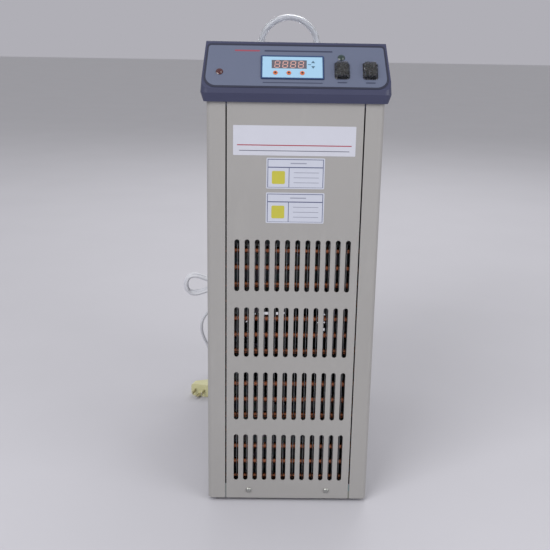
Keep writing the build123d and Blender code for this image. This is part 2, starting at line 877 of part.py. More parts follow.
with BuildPart() as tank_insulation:
    with BuildSketch(Plane(origin=(0, tank_middle, shelf_top))):
        Rectangle(tank_width + 2 * insulation, tank_length + 2 * insulation)
    extrude(amount=insulation + tank_height)
    with BuildSketch(Plane(origin=(0, tank_middle, tank_bottom))):
        RectangleRounded(tank_width + 2 * fit, tank_length + 2 * fit, tank_corner)
    extrude(amount=tank_height, mode=Mode.SUBTRACT)
    with BuildSketch(Plane.XY.offset(shelf_top)):
        with Locations(*tank_places):
            Circle(spigot_hole)
    extrude(amount=insulation, mode=Mode.SUBTRACT)
    with BuildSketch(upright_plane(-nipple_x, tank_back, return_z)):
        Circle(spigot_hole)
    extrude(amount=-2 * insulation, mode=Mode.SUBTRACT)
save(tank_insulation.part, "tank_insulation")

riser_x = coil_radius - riser_inset
with BuildPart() as tank_cover:
    cover_plane = Plane(origin=(0, tank_middle, tank_top + tank_wall))
    with BuildSketch(cover_plane):
        RectangleRounded(tank_width + 2 * tank_flange, tank_length + 2 * tank_flange, tank_corner)
        with Locations((-riser_x, 0), (coil_radius, 0)):
            Circle(coil_tube / 2 + fit, mode=Mode.SUBTRACT)
    extrude(amount=tank_wall)
    with BuildSketch(cover_plane):
        RectangleRounded(neck_width + 2 * neck_wall, neck_length + 2 * neck_wall, neck_corner + neck_wall)
    extrude(amount=deck_z - head_wall - tank_top - tank_wall)
    with BuildSketch(cover_plane):
        RectangleRounded(neck_width, neck_length, neck_corner)
    extrude(amount=deck_z - head_wall - tank_top - tank_wall, mode=Mode.SUBTRACT)
save(tank_cover.part, "tank_cover")

# Lift-off lid over the filler neck
with BuildPart() as reservoir_lid:
    lid_plane = Plane(origin=(0, tank_middle, deck_z))
    with BuildSketch(lid_plane):
        RectangleRounded(
            neck_width + 2 * lid_overlap, neck_length + 2 * lid_overlap, neck_corner + lid_overlap
        )
    extrude(amount=lid_thickness, taper=lid_taper)
    fillet(reservoir_lid.faces().sort_by(Axis.Z)[-1].edges(), lid_thickness / 3)
    with BuildSketch(lid_plane):
        RectangleRounded(neck_width - 2 * lid_fit, neck_length - 2 * lid_fit, neck_corner - lid_fit)
        RectangleRounded(
            neck_width - 2 * (lid_fit + lid_skirt_wall),
            neck_length - 2 * (lid_fit + lid_skirt_wall),
            neck_corner - lid_fit - lid_skirt_wall,
            mode=Mode.SUBTRACT,
        )
    extrude(amount=-lid_skirt)
    with BuildSketch(lid_plane.offset(lid_thickness)):
        SlotOverall(grip_length, grip_width)
    extrude(amount=grip_height, taper=grip_taper)
    fillet(reservoir_lid.faces().sort_by(Axis.Z)[-1].edges(), lid_thickness / 2)
save(reservoir_lid.part, "reservoir_lid")

# Evaporator coil in the tank, its ends rising through the cover
coil_z = tank_bottom + tank_wall + coil_lift
coil_top = coil_z + coil_turns * coil_pitch
riser_top = cover_top + riser_height
with BuildPart() as evaporator_coil:
    with BuildLine() as coil_path:
        Helix(
            pitch=coil_pitch,
            height=coil_turns * coil_pitch,
            radius=coil_radius,
            center=(0, tank_middle, coil_z),
        )
    with BuildSketch(Plane(origin=coil_path.line @ 0, z_dir=coil_path.line % 0)):
        Circle(coil_tube / 2)
    sweep(path=coil_path.line)
    with BuildSketch(Plane.XY.offset(riser_top)):
        with Locations((riser_x, tank_middle)):
            Circle(coil_tube / 2)
    extrude(amount=coil_z - riser_top)
    with BuildSketch(Plane.XY.offset(riser_top)):
        with Locations((-coil_radius, tank_middle)):
            Circle(coil_tube / 2)
    extrude(amount=coil_top - riser_top)
    with BuildSketch(Plane.YZ.offset(riser_x)):
        with Locations((tank_middle, coil_z)):
            Circle(coil_tube / 2)
    extrude(amount=riser_inset)
evaporator_mirrored = mirror(evaporator_coil.part, about=Plane.YZ)
save(evaporator_mirrored, "evaporator_coil")

# Barbed nipples through the deck, each with its hexagon and its nut below
nipple_world_y = front_y + nipple_y
barb_count = 3
barb_step = (nipple_length - nipple_hex_height - nipple_hex_height / 2) / barb_count
nipple_tail = head_wall + nut_height + inner_hose_outer


def nipple_outline():
    bore, shank, neck, barb = nipple_bore / 2, nipple_shank / 2, nipple_neck / 2, nipple_barb / 2
    outline = [(bore, -nipple_tail), (shank, -nipple_tail), (shank, 0), (neck, 0)]
    barb_low = nipple_length - barb_count * barb_step
    for i in range(barb_count):
        low = barb_low + i * barb_step
        outline += [(neck, low), (barb, low)]
    return outline + [(neck, nipple_length), (bore, nipple_length)]


with BuildPart() as hose_nipples:
    for side in (-1, 1):
        add(turned(side * nipple_x, nipple_world_y, deck_z, nipple_outline()))
    with BuildSketch(Plane.XY.offset(deck_z)):
        with Locations((-nipple_x, nipple_world_y), (nipple_x, nipple_world_y)):
            RegularPolygon(nipple_hex / 2, 6, major_radius=False)
            Circle(nipple_neck / 2, mode=Mode.SUBTRACT)
    extrude(amount=nipple_hex_height)
    with BuildSketch(Plane.XY.offset(deck_z - head_wall)):
        with Locations((-nipple_x, nipple_world_y), (nipple_x, nipple_world_y)):
            RegularPolygon(nut_hex / 2, 6, major_radius=False)
            Circle(nipple_shank / 2, mode=Mode.SUBTRACT)
    extrude(amount=-nut_height)
save(hose_nipples.part, "hose_nipples")

# Hose looped from one nipple to the other: a half circle on two upright ends
hose_foot = deck_z + nipple_hex_height
arch_step = pi / arch_corners
arch_corner_radius = arch_radius / cos(arch_step / 2)
hose_points = [(-arch_radius, nipple_world_y, hose_foot)]
for i in range(arch_corners):
    angle = pi - (i + 0.5) * arch_step
    hose_points.append(
        (
            arch_corner_radius * cos(angle),
            nipple_world_y,
            hose_foot + arch_height + arch_corner_radius * sin(angle),
        )
    )
hose_points.append((arch_radius, nipple_world_y, hose_foot))
hose_radii = cord_radii(hose_points)
hose_loop = bent_tube(hose_points, hose_radii, hose_outer, hose_bore)
report_cord("hose_loop", hose_points, hose_radii, hose_loop, pi * (hose_outer**2 - hose_bore**2) / 4)
save(hose_loop, "hose_loop")

# Condenser: tubes pressed through a stack of fins between two end plates
condenser_low = tray_top + condenser_lift
condenser_height = condenser_tubes * condenser_pitch
condenser_y = front_y + condenser_setback + condenser_depth / 2
tube_low = condenser_low + condenser_pitch / 2
tube_high = tube_low + (condenser_tubes - 1) * condenser_pitch
with BuildPart() as condenser_fins:
    with BuildSketch(Plane.XY.offset(condenser_low)):
        with Locations((0, condenser_y)):
            with GridLocations((condenser_width - fin_thickness) / (fin_count - 1), 0, fin_count, 1):
                Rectangle(fin_thickness, condenser_depth)
    extrude(amount=condenser_height)
save(condenser_fins.part, "condenser_fins")

tube_points = [(-condenser_reach, condenser_y, tube_low)]
for row in range(1, condenser_tubes):
    end_x = condenser_bend if row % 2 else -condenser_bend
    for level in (row - 1, row):
        tube_points.append((end_x, condenser_y, tube_low + level * condenser_pitch))
tube_points.append((condenser_reach, condenser_y, tube_high))
condenser_run = bent_tube(tube_points, 0.49 * condenser_pitch, condenser_tube)
save(condenser_run, "condenser_tubes")

with BuildPart() as condenser_end_plates:
    for side in (-1, 1):
        with BuildSketch(Plane.YZ.offset(side * condenser_width / 2)):
            with Locations((condenser_y, (tray_top + condenser_low + condenser_height) / 2)):
                Rectangle(condenser_depth, condenser_low + condenser_height - tray_top)
            with Locations((condenser_y, (tube_low + tube_high) / 2)):
                with GridLocations(0, condenser_pitch, 1, condenser_tubes):
                    Circle(condenser_tube / 2 + fit, mode=Mode.SUBTRACT)
        extrude(amount=side * end_plate)
save(condenser_end_plates.part, "condenser_end_plates")

# Fan plate with its ring, a plenum to the condenser, and the struts that carry the motor
plate_y = condenser_y + condenser_depth / 2 + plenum
plate_half = condenser_width / 2 + end_plate
plate_high = condenser_low + condenser_height
ring_inner = fan_diameter / 2 + fan_tip_gap
fan_z_row = base_z + fan_z
strut_y = plate_y + sheet + ring_depth + strut_gap
strut_reach = ring_inner + sheet + strut_gap / 2 + strut_thickness
plate_middle = (tray_top + plate_high) / 2
with BuildPart() as fan_shroud:
    with BuildSketch(upright_plane(0, plate_y, plate_middle)):
        Rectangle(2 * plate_half, plate_high - tray_top)
        with Locations((0, fan_z_row - plate_middle)):
            Circle(ring_inner, mode=Mode.SUBTRACT)
    extrude(amount=-sheet)
    with BuildSketch(upright_plane(0, plate_y, plate_middle)):
        with GridLocations(2 * plate_half - sheet, 0, 2, 1):
            Rectangle(sheet, plate_high - tray_top)
    extrude(amount=plenum)
    with BuildSketch(upright_plane(0, plate_y, fan_z_row)):
        Circle(ring_inner + sheet)
        Circle(ring_inner, mode=Mode.SUBTRACT)
    extrude(amount=-sheet - ring_depth)
    with BuildSketch(upright_plane(0, strut_y, fan_z_row)):
        Rectangle(2 * strut_reach, strut_width)
        Rectangle(strut_width, 2 * strut_reach)
        Circle(fan_motor_diameter / 4)
        Circle(strut_hole / 2, mode=Mode.SUBTRACT)
    extrude(amount=-strut_thickness)
    with BuildSketch(upright_plane(0, strut_y, fan_z_row)):
        with GridLocations(2 * strut_reach - strut_thickness, 0, 2, 1):
            Rectangle(strut_thickness, strut_width)
        with GridLocations(0, 2 * strut_reach - strut_thickness, 1, 2):
            Rectangle(strut_width, strut_thickness)
    extrude(amount=strut_y - plate_y - sheet / 2)
save(fan_shroud.part, "fan_shroud")

# Fan: twisted blades on a hub that turns on the motor's shaft
hub_front = plate_y + sheet
motor_front = strut_y + strut_thickness
with BuildPart() as fan_motor:
    with BuildSketch(upright_plane(0, motor_front, fan_z_row)):
        Circle(fan_motor_diameter / 2)
    extrude(amount=-fan_motor_length)
    fillet(fan_motor.edges().filter_by(GeomType.CIRCLE), fan_motor_length / 8)
    with BuildSketch(upright_plane(0, motor_front, fan_z_row)):
        Circle(fan_bore / 2)
    extrude(amount=motor_front - hub_front)
save(fan_motor.part, "fan_motor")

blade_y = hub_front + fan_depth / 2
with BuildPart() as fan_blades:
    with BuildSketch(upright_plane(0, hub_front, fan_z_row)):
        Circle(fan_hub / 2)
    extrude(amount=-fan_depth)
    fillet(fan_blades.faces().sort_by(Axis.Y)[0].edges(), fan_depth / 6)
    for i in range(fan_blade_count):
        turn = 2 * pi * i / fan_blade_count
        out = Vector(cos(turn), 0, sin(turn))
        for radius, chord, pitch in (
            (fan_hub / 2 - fan_hub_overlap, fan_root_chord, fan_root_pitch),
            (fan_diameter / 2, fan_tip_chord, fan_tip_pitch),
        ):
            flat = cos(radians(pitch))
            along = Vector(-sin(turn) * flat, sin(radians(pitch)), cos(turn) * flat)
            root = Vector(0, blade_y, fan_z_row) + out * radius
            with BuildSketch(Plane(origin=root, x_dir=along, z_dir=out)):
                Rectangle(chord, fan_blade_thickness)
        loft()
    with BuildSketch(upright_plane(0, hub_front, fan_z_row)):
        Circle(fan_diameter / 2)
        Circle(fan_bore / 2 + shaft_clearance, mode=Mode.SUBTRACT)
    extrude(amount=-fan_depth, mode=Mode.INTERSECT)
save(fan_blades.part, "fan_blades")

# Compressor on its rubber mounts
compressor_world_y = front_y + compressor_y
plate_z = tray_top + mount_height
shell_radius = compressor_diameter / 2
stub_end = shell_radius + stub_length
bottom_turn = compressor_dome / 2
with BuildPart() as compressor_shell:
    with BuildSketch(upright_plane(0, compressor_world_y, plate_z)):
        with BuildLine():
            Line((0, 0), (shell_radius - bottom_turn, 0))
            CenterArc((shell_radius - bottom_turn, bottom_turn), bottom_turn, -90, 90)
            Line((shell_radius, bottom_turn), (shell_radius, compressor_height - compressor_dome))
            Bezier(
                (shell_radius, compressor_height - compressor_dome),
                (shell_radius, compressor_height - compressor_dome / 2),
                (shell_radius / 2, compressor_height),
                (0, compressor_height),
            )
            Line((0, compressor_height), (0, 0))
        make_face()
    revolve(axis=Axis((0, compressor_world_y, plate_z), (0, 0, 1)))
    with BuildSketch(Plane(origin=(0, compressor_world_y, plate_z + compressor_height / 2))):
        Circle(shell_radius + sheet)
    extrude(amount=compressor_plate, both=True)
    with BuildSketch(Plane(origin=(0, compressor_world_y, plate_z))):
        RectangleRounded(compressor_span_x, compressor_span_y, mount_diameter / 2)
    extrude(amount=compressor_plate)
    for stub_y, stub_z, diameter in (
        (discharge_y, discharge_z, line_diameter),
        (suction_y, suction_z, suction_diameter),
    ):
        with BuildSketch(Plane.YZ):
            with Locations((stub_y, base_z + stub_z)):
                Circle(diameter / 2)
        extrude(amount=stub_end)
save(compressor_shell.part, "compressor_shell")

with BuildPart() as compressor_mounts:
    with BuildSketch(Plane(origin=(0, compressor_world_y, tray_top))):
        with GridLocations(compressor_span_x - mount_diameter, compressor_span_y - mount_diameter, 2, 2):
            Circle(mount_diameter / 2)
    extrude(amount=mount_height)
save(compressor_mounts.part, "compressor_mounts")

terminal_z = base_z + (suction_z + discharge_z) / 2
with BuildPart() as terminal_cover:
    with BuildSketch(Plane.YZ.offset(-shell_radius - terminal_depth)):
        with Locations((compressor_world_y, terminal_z)):
            RectangleRounded(terminal_width, terminal_height, fold_radius * 3)
    extrude(amount=terminal_depth + shell_radius / 2)
    with BuildSketch(Plane(origin=(0, compressor_world_y, terminal_z))):
        Circle(shell_radius + sheet + fit)
    extrude(amount=terminal_height, both=True, mode=Mode.SUBTRACT)
save(terminal_cover.part, "terminal_cover")

# Refrigerant lines
save(
    bent_tube(
        [
            (stub_end, discharge_y, base_z + discharge_z),
            (pipe_x, discharge_y, base_z + discharge_z),
            (pipe_x, discharge_y, tube_high),
            (pipe_x, condenser_y, tube_high),
            (condenser_reach, condenser_y, tube_high),
        ],
        pipe_bend,
        line_diameter,
    ),
    "discharge_line",
)
drier_row_y = front_y + drier_y
drier_low = base_z + drier_z
drier_high = drier_low + drier_length
save(
    bent_tube(
        [
            (-condenser_reach, condenser_y, tube_low),
            (-pipe_x, condenser_y, tube_low),
            (-pipe_x, drier_row_y, tube_low),
            (-pipe_x, drier_row_y, drier_low),
        ],
        pipe_bend,
        line_diameter,
    ),
    "liquid_line",
)
drier_outline = (
    (0, 0),
    (line_diameter / 2, 0),
    (drier_diameter / 2, drier_diameter / 2),
    (drier_diameter / 2, drier_length - drier_diameter / 2),
    (line_diameter / 2, drier_length),
    (0, drier_length),
)
save(turned(-pipe_x, drier_row_y, drier_low, drier_outline), "filter_drier")
line_top = riser_top + 1.5 * pipe_bend
save(
    bent_tube(
        [
            (-pipe_x, drier_row_y, drier_high),
            (-pipe_x, drier_row_y, line_top),
            (-riser_x, tank_middle, line_top),
            (-riser_x, tank_middle, riser_top),
        ],
        pipe_bend,
        capillary_diameter,
    ),
    "capillary_line",
)
save(
    bent_tube(
        [
            (coil_radius, tank_middle, riser_top),
            (coil_radius, tank_middle, line_top),
            (pipe_x, suction_y, line_top),
            (pipe_x, suction_y, base_z + suction_z),
            (stub_end, suction_y, base_z + suction_z),
        ],
        pipe_bend,
        suction_diameter,
    ),
    "suction_line",
)

# Circulation pump, hung from the shelf by its bracket
pump_row_z = base_z + pump_z
pump_back = pump_front + pump_length
spigot_top = pump_row_z + pump_diameter / 2 + pump_spigot_length
with BuildPart() as pump_body:
    with BuildSketch(upright_plane(pump_x, pump_front, pump_row_z)):
        Circle(pump_diameter / 2)
    extrude(amount=-pump_length)
    with BuildSketch(upright_plane(pump_x, pump_front, pump_row_z)):
        Circle(pump_spigot / 2)
    extrude(amount=pump_spigot_length)
    with BuildSketch(Plane(origin=(pump_x, spigot_y, spigot_top))):
        Circle(pump_spigot / 2)
    extrude(amount=-pump_spigot_length - pump_wall)
    with BuildSketch(upright_plane(pump_x, pump_front + pump_wall, pump_row_z)):
        Circle(pump_diameter / 2 - pump_wall)
    extrude(amount=-pump_length, mode=Mode.SUBTRACT)
    with BuildSketch(upright_plane(pump_x, pump_front - pump_spigot_length, pump_row_z)):
        Circle(spigot_bore)
    extrude(amount=-pump_spigot_length - pump_wall, mode=Mode.SUBTRACT)
    with BuildSketch(Plane(origin=(pump_x, spigot_y, spigot_top))):
        Circle(spigot_bore)
    extrude(amount=-pump_spigot_length - 2 * pump_wall, mode=Mode.SUBTRACT)
save(pump_body.part, "pump_body")

shaft_depth = pump_length / 2
with BuildPart() as pump_motor:
    with BuildSketch(upright_plane(pump_x, pump_back, pump_row_z)):
        Circle(pump_motor_diameter / 2)
    extrude(amount=-pump_motor_length)
    fillet(pump_motor.faces().sort_by(Axis.Y)[-1].edges(), pump_wall)
    with BuildSketch(upright_plane(pump_x, pump_back, pump_row_z)):
        Circle(pump_diameter / 2)
    extrude(amount=-pump_wall)
    with BuildSketch(upright_plane(pump_x, pump_back, pump_row_z)):
        Circle(impeller_shaft / 2 + shaft_clearance)
    extrude(amount=-shaft_depth - pump_wall, mode=Mode.SUBTRACT)
save(pump_motor.part, "pump_motor")

vane_depth = pump_length - 4 * pump_wall
vane_inner = pump_spigot / 4
vane_outer = impeller_diameter / 2 - pump_wall / 2
impeller_back = pump_back - pump_wall / 2
with BuildPart() as pump_impeller:
    with BuildSketch(upright_plane(pump_x, impeller_back, pump_row_z)):
        Circle(impeller_diameter / 2)
    extrude(amount=pump_wall)
    with BuildSketch(upright_plane(pump_x, impeller_back, pump_row_z)):
        with PolarLocations((vane_inner + vane_outer) / 2, impeller_vanes):
            Rectangle(vane_outer - vane_inner, pump_wall / 2)
        Circle(pump_spigot / 2)
    extrude(amount=pump_wall + vane_depth)
    with BuildSketch(upright_plane(pump_x, impeller_back, pump_row_z)):
        Circle(impeller_shaft / 2)
    extrude(amount=-shaft_depth)
save(pump_impeller.part, "pump_impeller")

band_inner = pump_motor_diameter / 2 + fit
band_outer = band_inner + sheet
hanger_height = shelf_top - sheet - pump_row_z
with BuildPart() as pump_bracket:
    with BuildSketch(upright_plane(pump_x, pump_back + 2 * pump_wall, pump_row_z)):
        Circle(band_outer)
        with Locations((0, hanger_height / 2)):
            Rectangle(2 * band_outer, hanger_height)
            Rectangle(2 * band_inner, hanger_height, mode=Mode.SUBTRACT)
        Circle(band_inner, mode=Mode.SUBTRACT)
        with Locations((0, hanger_height - sheet / 2)):
            with GridLocations(2 * band_outer + bracket_tab - sheet, 0, 2, 1):
                Rectangle(bracket_tab + sheet, sheet)
    extrude(amount=-pump_motor_length / 2)
save(pump_bracket.part, "pump_bracket")

# Hoses inside the cabinet, pushed over their spigots
hose_slip = pump_spigot + fit
shelf_low = shelf_top - sheet - fit
inlet_start = (pump_x, outlet_y, shelf_low)
save(
    bent_tube(
        [inlet_start, (pump_x, outlet_y, pump_row_z), (pump_x, pump_front - fit, pump_row_z)],
        inner_hose_outer * 1.5,
        inner_hose_outer,
        hose_slip,
    ),
    "pump_inlet_hose",
)
hose_climb = shelf_top + 1.25 * inner_hose_outer
nipple_nut_low = deck_z - head_wall - nut_height - fit
with BuildPart() as nipple_hoses:
    add(
        bent_tube(
            [
                (pump_x, spigot_y, spigot_top - pump_spigot_length + fit),
                (pump_x, spigot_y, hose_climb),
                (nipple_x, nipple_world_y, hose_climb + 2 * inner_hose_outer),
                (nipple_x, nipple_world_y, nipple_nut_low),
            ],
            2 * inner_hose_outer,
            inner_hose_outer,
            hose_slip,
        )
    )
    add(
        bent_tube(
            [
                (-nipple_x, nipple_world_y, nipple_nut_low),
                (-nipple_x, nipple_world_y, return_z),
                (-nipple_x, tank_back + insulation + fit, return_z),
            ],
            1.5 * inner_hose_outer,
            inner_hose_outer,
            hose_slip,
        )
    )
save(nipple_hoses.part, "nipple_hoses")
drain_row_z = base_z + drain_z
save(
    bent_tube(
        [
            (drain_x, outlet_y, shelf_low),
            (drain_x, outlet_y, drain_row_z),
            (drain_x, rear_y - sheet - fit, drain_row_z),
        ],
        1.25 * inner_hose_outer,
        inner_hose_outer,
        hose_slip,
    ),
    "drain_hose",
)

# Drain valve on the rear panel, its lever turning on top
spigot_start = drain_body - drain_hex / 12
valve_core = drain_bore / 2  # solid behind the panel's face, where the closed way ends
valve_outline = (
    (0, -valve_core),
    (drain_bore / 2, -valve_core),
    (drain_bore / 2, -drain_body),
    (drain_shank / 2, -drain_body),
    (drain_shank / 2, 0),
    (drain_hex / 2, 0),
    (drain_hex / 2, spigot_start),
    (drain_spigot / 2, drain_body),
    (drain_spigot / 2, drain_body + drain_spigot_length),
    (drain_bore / 2, drain_body + drain_spigot_length),
    (drain_bore / 2, drain_body),
    (0, drain_body),
)
stem_y = rear_y + drain_body / 2
stem_top = drain_row_z + drain_hex / 2 + lever_thickness
with BuildPart() as drain_valve:
    add(turned(drain_x, rear_y, drain_row_z, valve_outline, axis_dir=(0, 1, 0)))
    with BuildSketch(Plane(origin=(drain_x, stem_y, drain_row_z))):
        Circle(lever_hub / 2)
    extrude(amount=stem_top - drain_row_z)
    with BuildSketch(Plane(origin=(drain_x, stem_y, stem_top))):
        Circle(stem_diameter / 2 + pin_clearance)
    extrude(amount=-stem_height, mode=Mode.SUBTRACT)
save(drain_valve.part, "drain_valve")

with BuildPart() as drain_lever:
    with BuildSketch(Plane(origin=(drain_x, stem_y, stem_top))):
        Circle(lever_hub / 2)
        with Locations((lever_length / 2, 0)):
            SlotOverall(lever_length + lever_width, lever_width)
    extrude(amount=lever_thickness)
    fillet(drain_lever.faces().sort_by(Axis.Z)[-1].edges(), lever_thickness / 4)
    with BuildSketch(Plane(origin=(drain_x, stem_y, stem_top))):
        Circle(stem_diameter / 2)
    extrude(amount=pin_clearance - stem_height)
save(drain_lever.part, "drain_lever")

# Cable gland
gland_outline = (
    (0, -gland_thread),
    (gland_diameter / 2, -gland_thread),
    (gland_diameter / 2, 0),
    (gland_flange / 2, 0),
    (gland_flange / 2, gland_flange_thickness),
    (gland_diameter / 2, gland_flange_thickness),
    (0.7 * cord_diameter, gland_length),
    (0, gland_length),
)
gland_row_z = base_z + gland_z
save(turned(gland_x, rear_y, gland_row_z, gland_outline, axis_dir=(0, 1, 0)), "cable_gland")

# Mains lead out of the gland and into its hank
hank_y = rear_y + hank_gap + hank_depth / 2
hank_row_z = base_z + hank_z
gland_tip = rear_y + gland_length
lead_x = hank_x + lead_landing
hank_top = hank_row_z + hank_height / 2
lead_points = [
    (gland_x, gland_tip, gland_row_z),
    (-70, 244, 336),
    (-70, 260.5, 326.5),
    (-70, 270, 310),
    (-70, 270, 291),
    (-69.5, 262, 273.8),
    (-69, 249.1, 258.5),
    (lead_x, hank_y, hank_top + 19),
    (lead_x, hank_y, hank_top),
]
lead_radii = cord_radii(lead_points)
cord_section = pi * cord_diameter**2 / 4
power_cord_lead = bent_tube(lead_points, lead_radii, cord_diameter)
report_cord("power_cord_lead", lead_points, lead_radii, power_cord_lead, cord_section)
save(power_cord_lead, "power_cord_lead")

hank_corners = (
    (waist_length / 2, hank_waist / 2),
    (lobe_start, hank_height / 2),
    (lobe_end, hank_height / 2),
    (hank_length / 2, lobe_nose / 2),
)
right_top = list(hank_corners)
right_low = [(x, -z) for x, z in reversed(hank_corners)]
left_low = [(-x, -z) for x, z in hank_corners]
left_top = [(-x, z) for x, z in reversed(hank_corners)]
with BuildPart() as cord_hank:
    with BuildSketch(upright_plane(hank_x, hank_y - hank_depth / 2, hank_row_z)):
        with BuildLine():
            FilletPolyline(*right_top, *right_low, *left_low, *left_top, radius=lobe_radius, close=True)
        make_face()
    extrude(amount=-hank_depth)
save(cord_hank.part, "cord_hank")

with BuildPart() as cord_tie:
    with BuildSketch(Plane.YZ.offset(hank_x - tie_width / 2)):
        with Locations((hank_y, hank_row_z)):
            RectangleRounded(
                hank_depth + 2 * (tie_gap + tie_thickness),
                hank_waist + 2 * (tie_gap + tie_thickness),
                tie_thickness,
            )
            Rectangle(hank_depth + 2 * tie_gap, hank_waist + 2 * tie_gap, mode=Mode.SUBTRACT)
    extrude(amount=tie_width)
save(cord_tie.part, "cord_tie")

# Plug lying on the floor, its lead end towards the hank
plug_along = Vector(sin(radians(plug_turn)), cos(radians(plug_turn)), 0)
plug_face = Plane(
    origin=(plug_x, front_y + plug_y, plug_thickness / 2),
    x_dir=plug_along.cross(Vector(0, 0, 1)),
    z_dir=plug_along,
)
with BuildPart() as power_plug:
    with BuildSketch(plug_face):
        RectangleRounded(plug_width, plug_thickness, plug_corner)
    extrude(amount=plug_block)
    for along, width, height in (
        (plug_block, plug_width, plug_thickness),
        (plug_length, plug_waist, plug_waist),
    ):
        with BuildSketch(plug_face.offset(along)):
            RectangleRounded(width, height, plug_corner)
    loft()
    with BuildSketch(plug_face.offset(plug_length)):
        Circle(plug_corner)
    extrude(amount=plug_sleeve)
    with BuildSketch(plug_face):
        with GridLocations(plug_width / 2, 0, 2, 1):
            Rectangle(plug_pin_thickness, plug_pin_width)
        with Locations((0, plug_pin_width)):
            Rectangle(plug_pin_width, plug_pin_thickness)
    extrude(amount=-plug_pin_length)
save(power_plug.part, "power_plug")

# Lead from under the hank to the plug
hank_low = hank_row_z - hank_waist / 2
plug_end = plug_face.from_local_coords(Vector(0, 0, plug_length + plug_sleeve))
tail_x = hank_x - tail_landing
tail_points = [
    (tail_x, hank_y, hank_low),
    (tail_x, hank_y, hank_low - 15.5),
    (-131, 242.5, 162.5),
    (-142.5, 243.5, 149.5),
    (-154.5, 245.5, 136.5),
    (-162.5, 249, 119.5),
    (-164, 254.5, 101),
    (-160.5, 262, 83.5),
    (-154.5, 270, 66.5),
    (-148.5, 276, 49),
    (-143, 276, 31),
    (-139, 266.5, 15.5),
    (-136.5, 250.5, 6),
    (-136, 232, 3.9),
    (-140, 215, 7.5),
    tuple(plug_end),
]
tail_radii = cord_radii(tail_points)
power_cord_tail = bent_tube(tail_points, tail_radii, cord_diameter)
report_cord("power_cord_tail", tail_points, tail_radii, power_cord_tail, cord_section)
save(power_cord_tail, "power_cord_tail")
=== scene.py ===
import json
from math import cos, pi, radians, sin, tan

import bmesh
import bpy
from mathutils import Matrix, Vector


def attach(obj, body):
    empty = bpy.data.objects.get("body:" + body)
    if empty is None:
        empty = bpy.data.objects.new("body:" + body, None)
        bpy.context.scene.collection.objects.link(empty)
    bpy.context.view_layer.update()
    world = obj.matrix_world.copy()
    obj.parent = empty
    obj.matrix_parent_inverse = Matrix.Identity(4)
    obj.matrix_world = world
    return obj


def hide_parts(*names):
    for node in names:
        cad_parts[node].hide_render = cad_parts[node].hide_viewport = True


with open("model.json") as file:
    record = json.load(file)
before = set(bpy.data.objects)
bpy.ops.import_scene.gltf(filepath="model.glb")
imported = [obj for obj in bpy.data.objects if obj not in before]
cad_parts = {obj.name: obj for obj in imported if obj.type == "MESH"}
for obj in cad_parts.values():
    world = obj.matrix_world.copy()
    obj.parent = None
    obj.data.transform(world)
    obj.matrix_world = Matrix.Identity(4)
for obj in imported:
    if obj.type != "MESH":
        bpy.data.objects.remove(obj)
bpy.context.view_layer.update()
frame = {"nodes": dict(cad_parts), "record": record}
nodes = frame["nodes"]
mm = 0.001
print("frame loaded:", len(nodes), "nodes")


def screenColour(red, green, blue):              # an 8-bit screen colour as a linear one
    linear = []
    for level in (red, green, blue):
        share = level / 255
        linear.append(share / 12.92 if share < 0.04 else ((share + 0.055) / 1.055) ** 2.4)
    return (*linear, 1.0)


def linked(name, data):
    made = bpy.data.objects.new(name, data)
    bpy.context.scene.collection.objects.link(made)
    return made


# Camera where the photographer stood, a little left of the middle and looking down
viewpoint = {
    "location": (-0.0423, -1.4379, 0.7101),
    "right": (0.99981, -0.01039, 0.01639),
    "up": (-0.01283, 0.27969, 0.96000),
    "forward": (0.01456, 0.96003, -0.27950),
    "lens": 57.93,
    "sensor": 36.0,
    "clip": (0.05, 60),
}


def makeCamera(settings):
    data = bpy.data.cameras.new("camera")
    data.lens = settings["lens"]
    data.sensor_width = settings["sensor"]
    data.clip_start, data.clip_end = settings["clip"]
    camera = linked("camera", data)
    turn = Matrix((settings["right"], settings["up"], -Vector(settings["forward"]))).transposed()
    camera.matrix_world = Matrix.Translation(settings["location"]) @ turn.to_4x4()
    bpy.context.scene.camera = camera


makeCamera(viewpoint)
bpy.context.scene.view_settings.view_transform = "Standard"
print("camera set")


# Shader maths on sockets
class Value:
    def __init__(self, finish, socket):
        self.finish = finish
        self.socket = socket

    def maths(self, operation, first, second):
        return self.finish.node("ShaderNodeMath", {"operation": operation}, {0: first, 1: second})

    def __add__(self, other):
        return self.maths("ADD", self, other)

    def __sub__(self, other):
        return self.maths("SUBTRACT", self, other)

    def __rsub__(self, other):
        return self.maths("SUBTRACT", other, self)

    def __mul__(self, other):
        return self.maths("MULTIPLY", self, other)

    __radd__ = __add__
    __rmul__ = __mul__


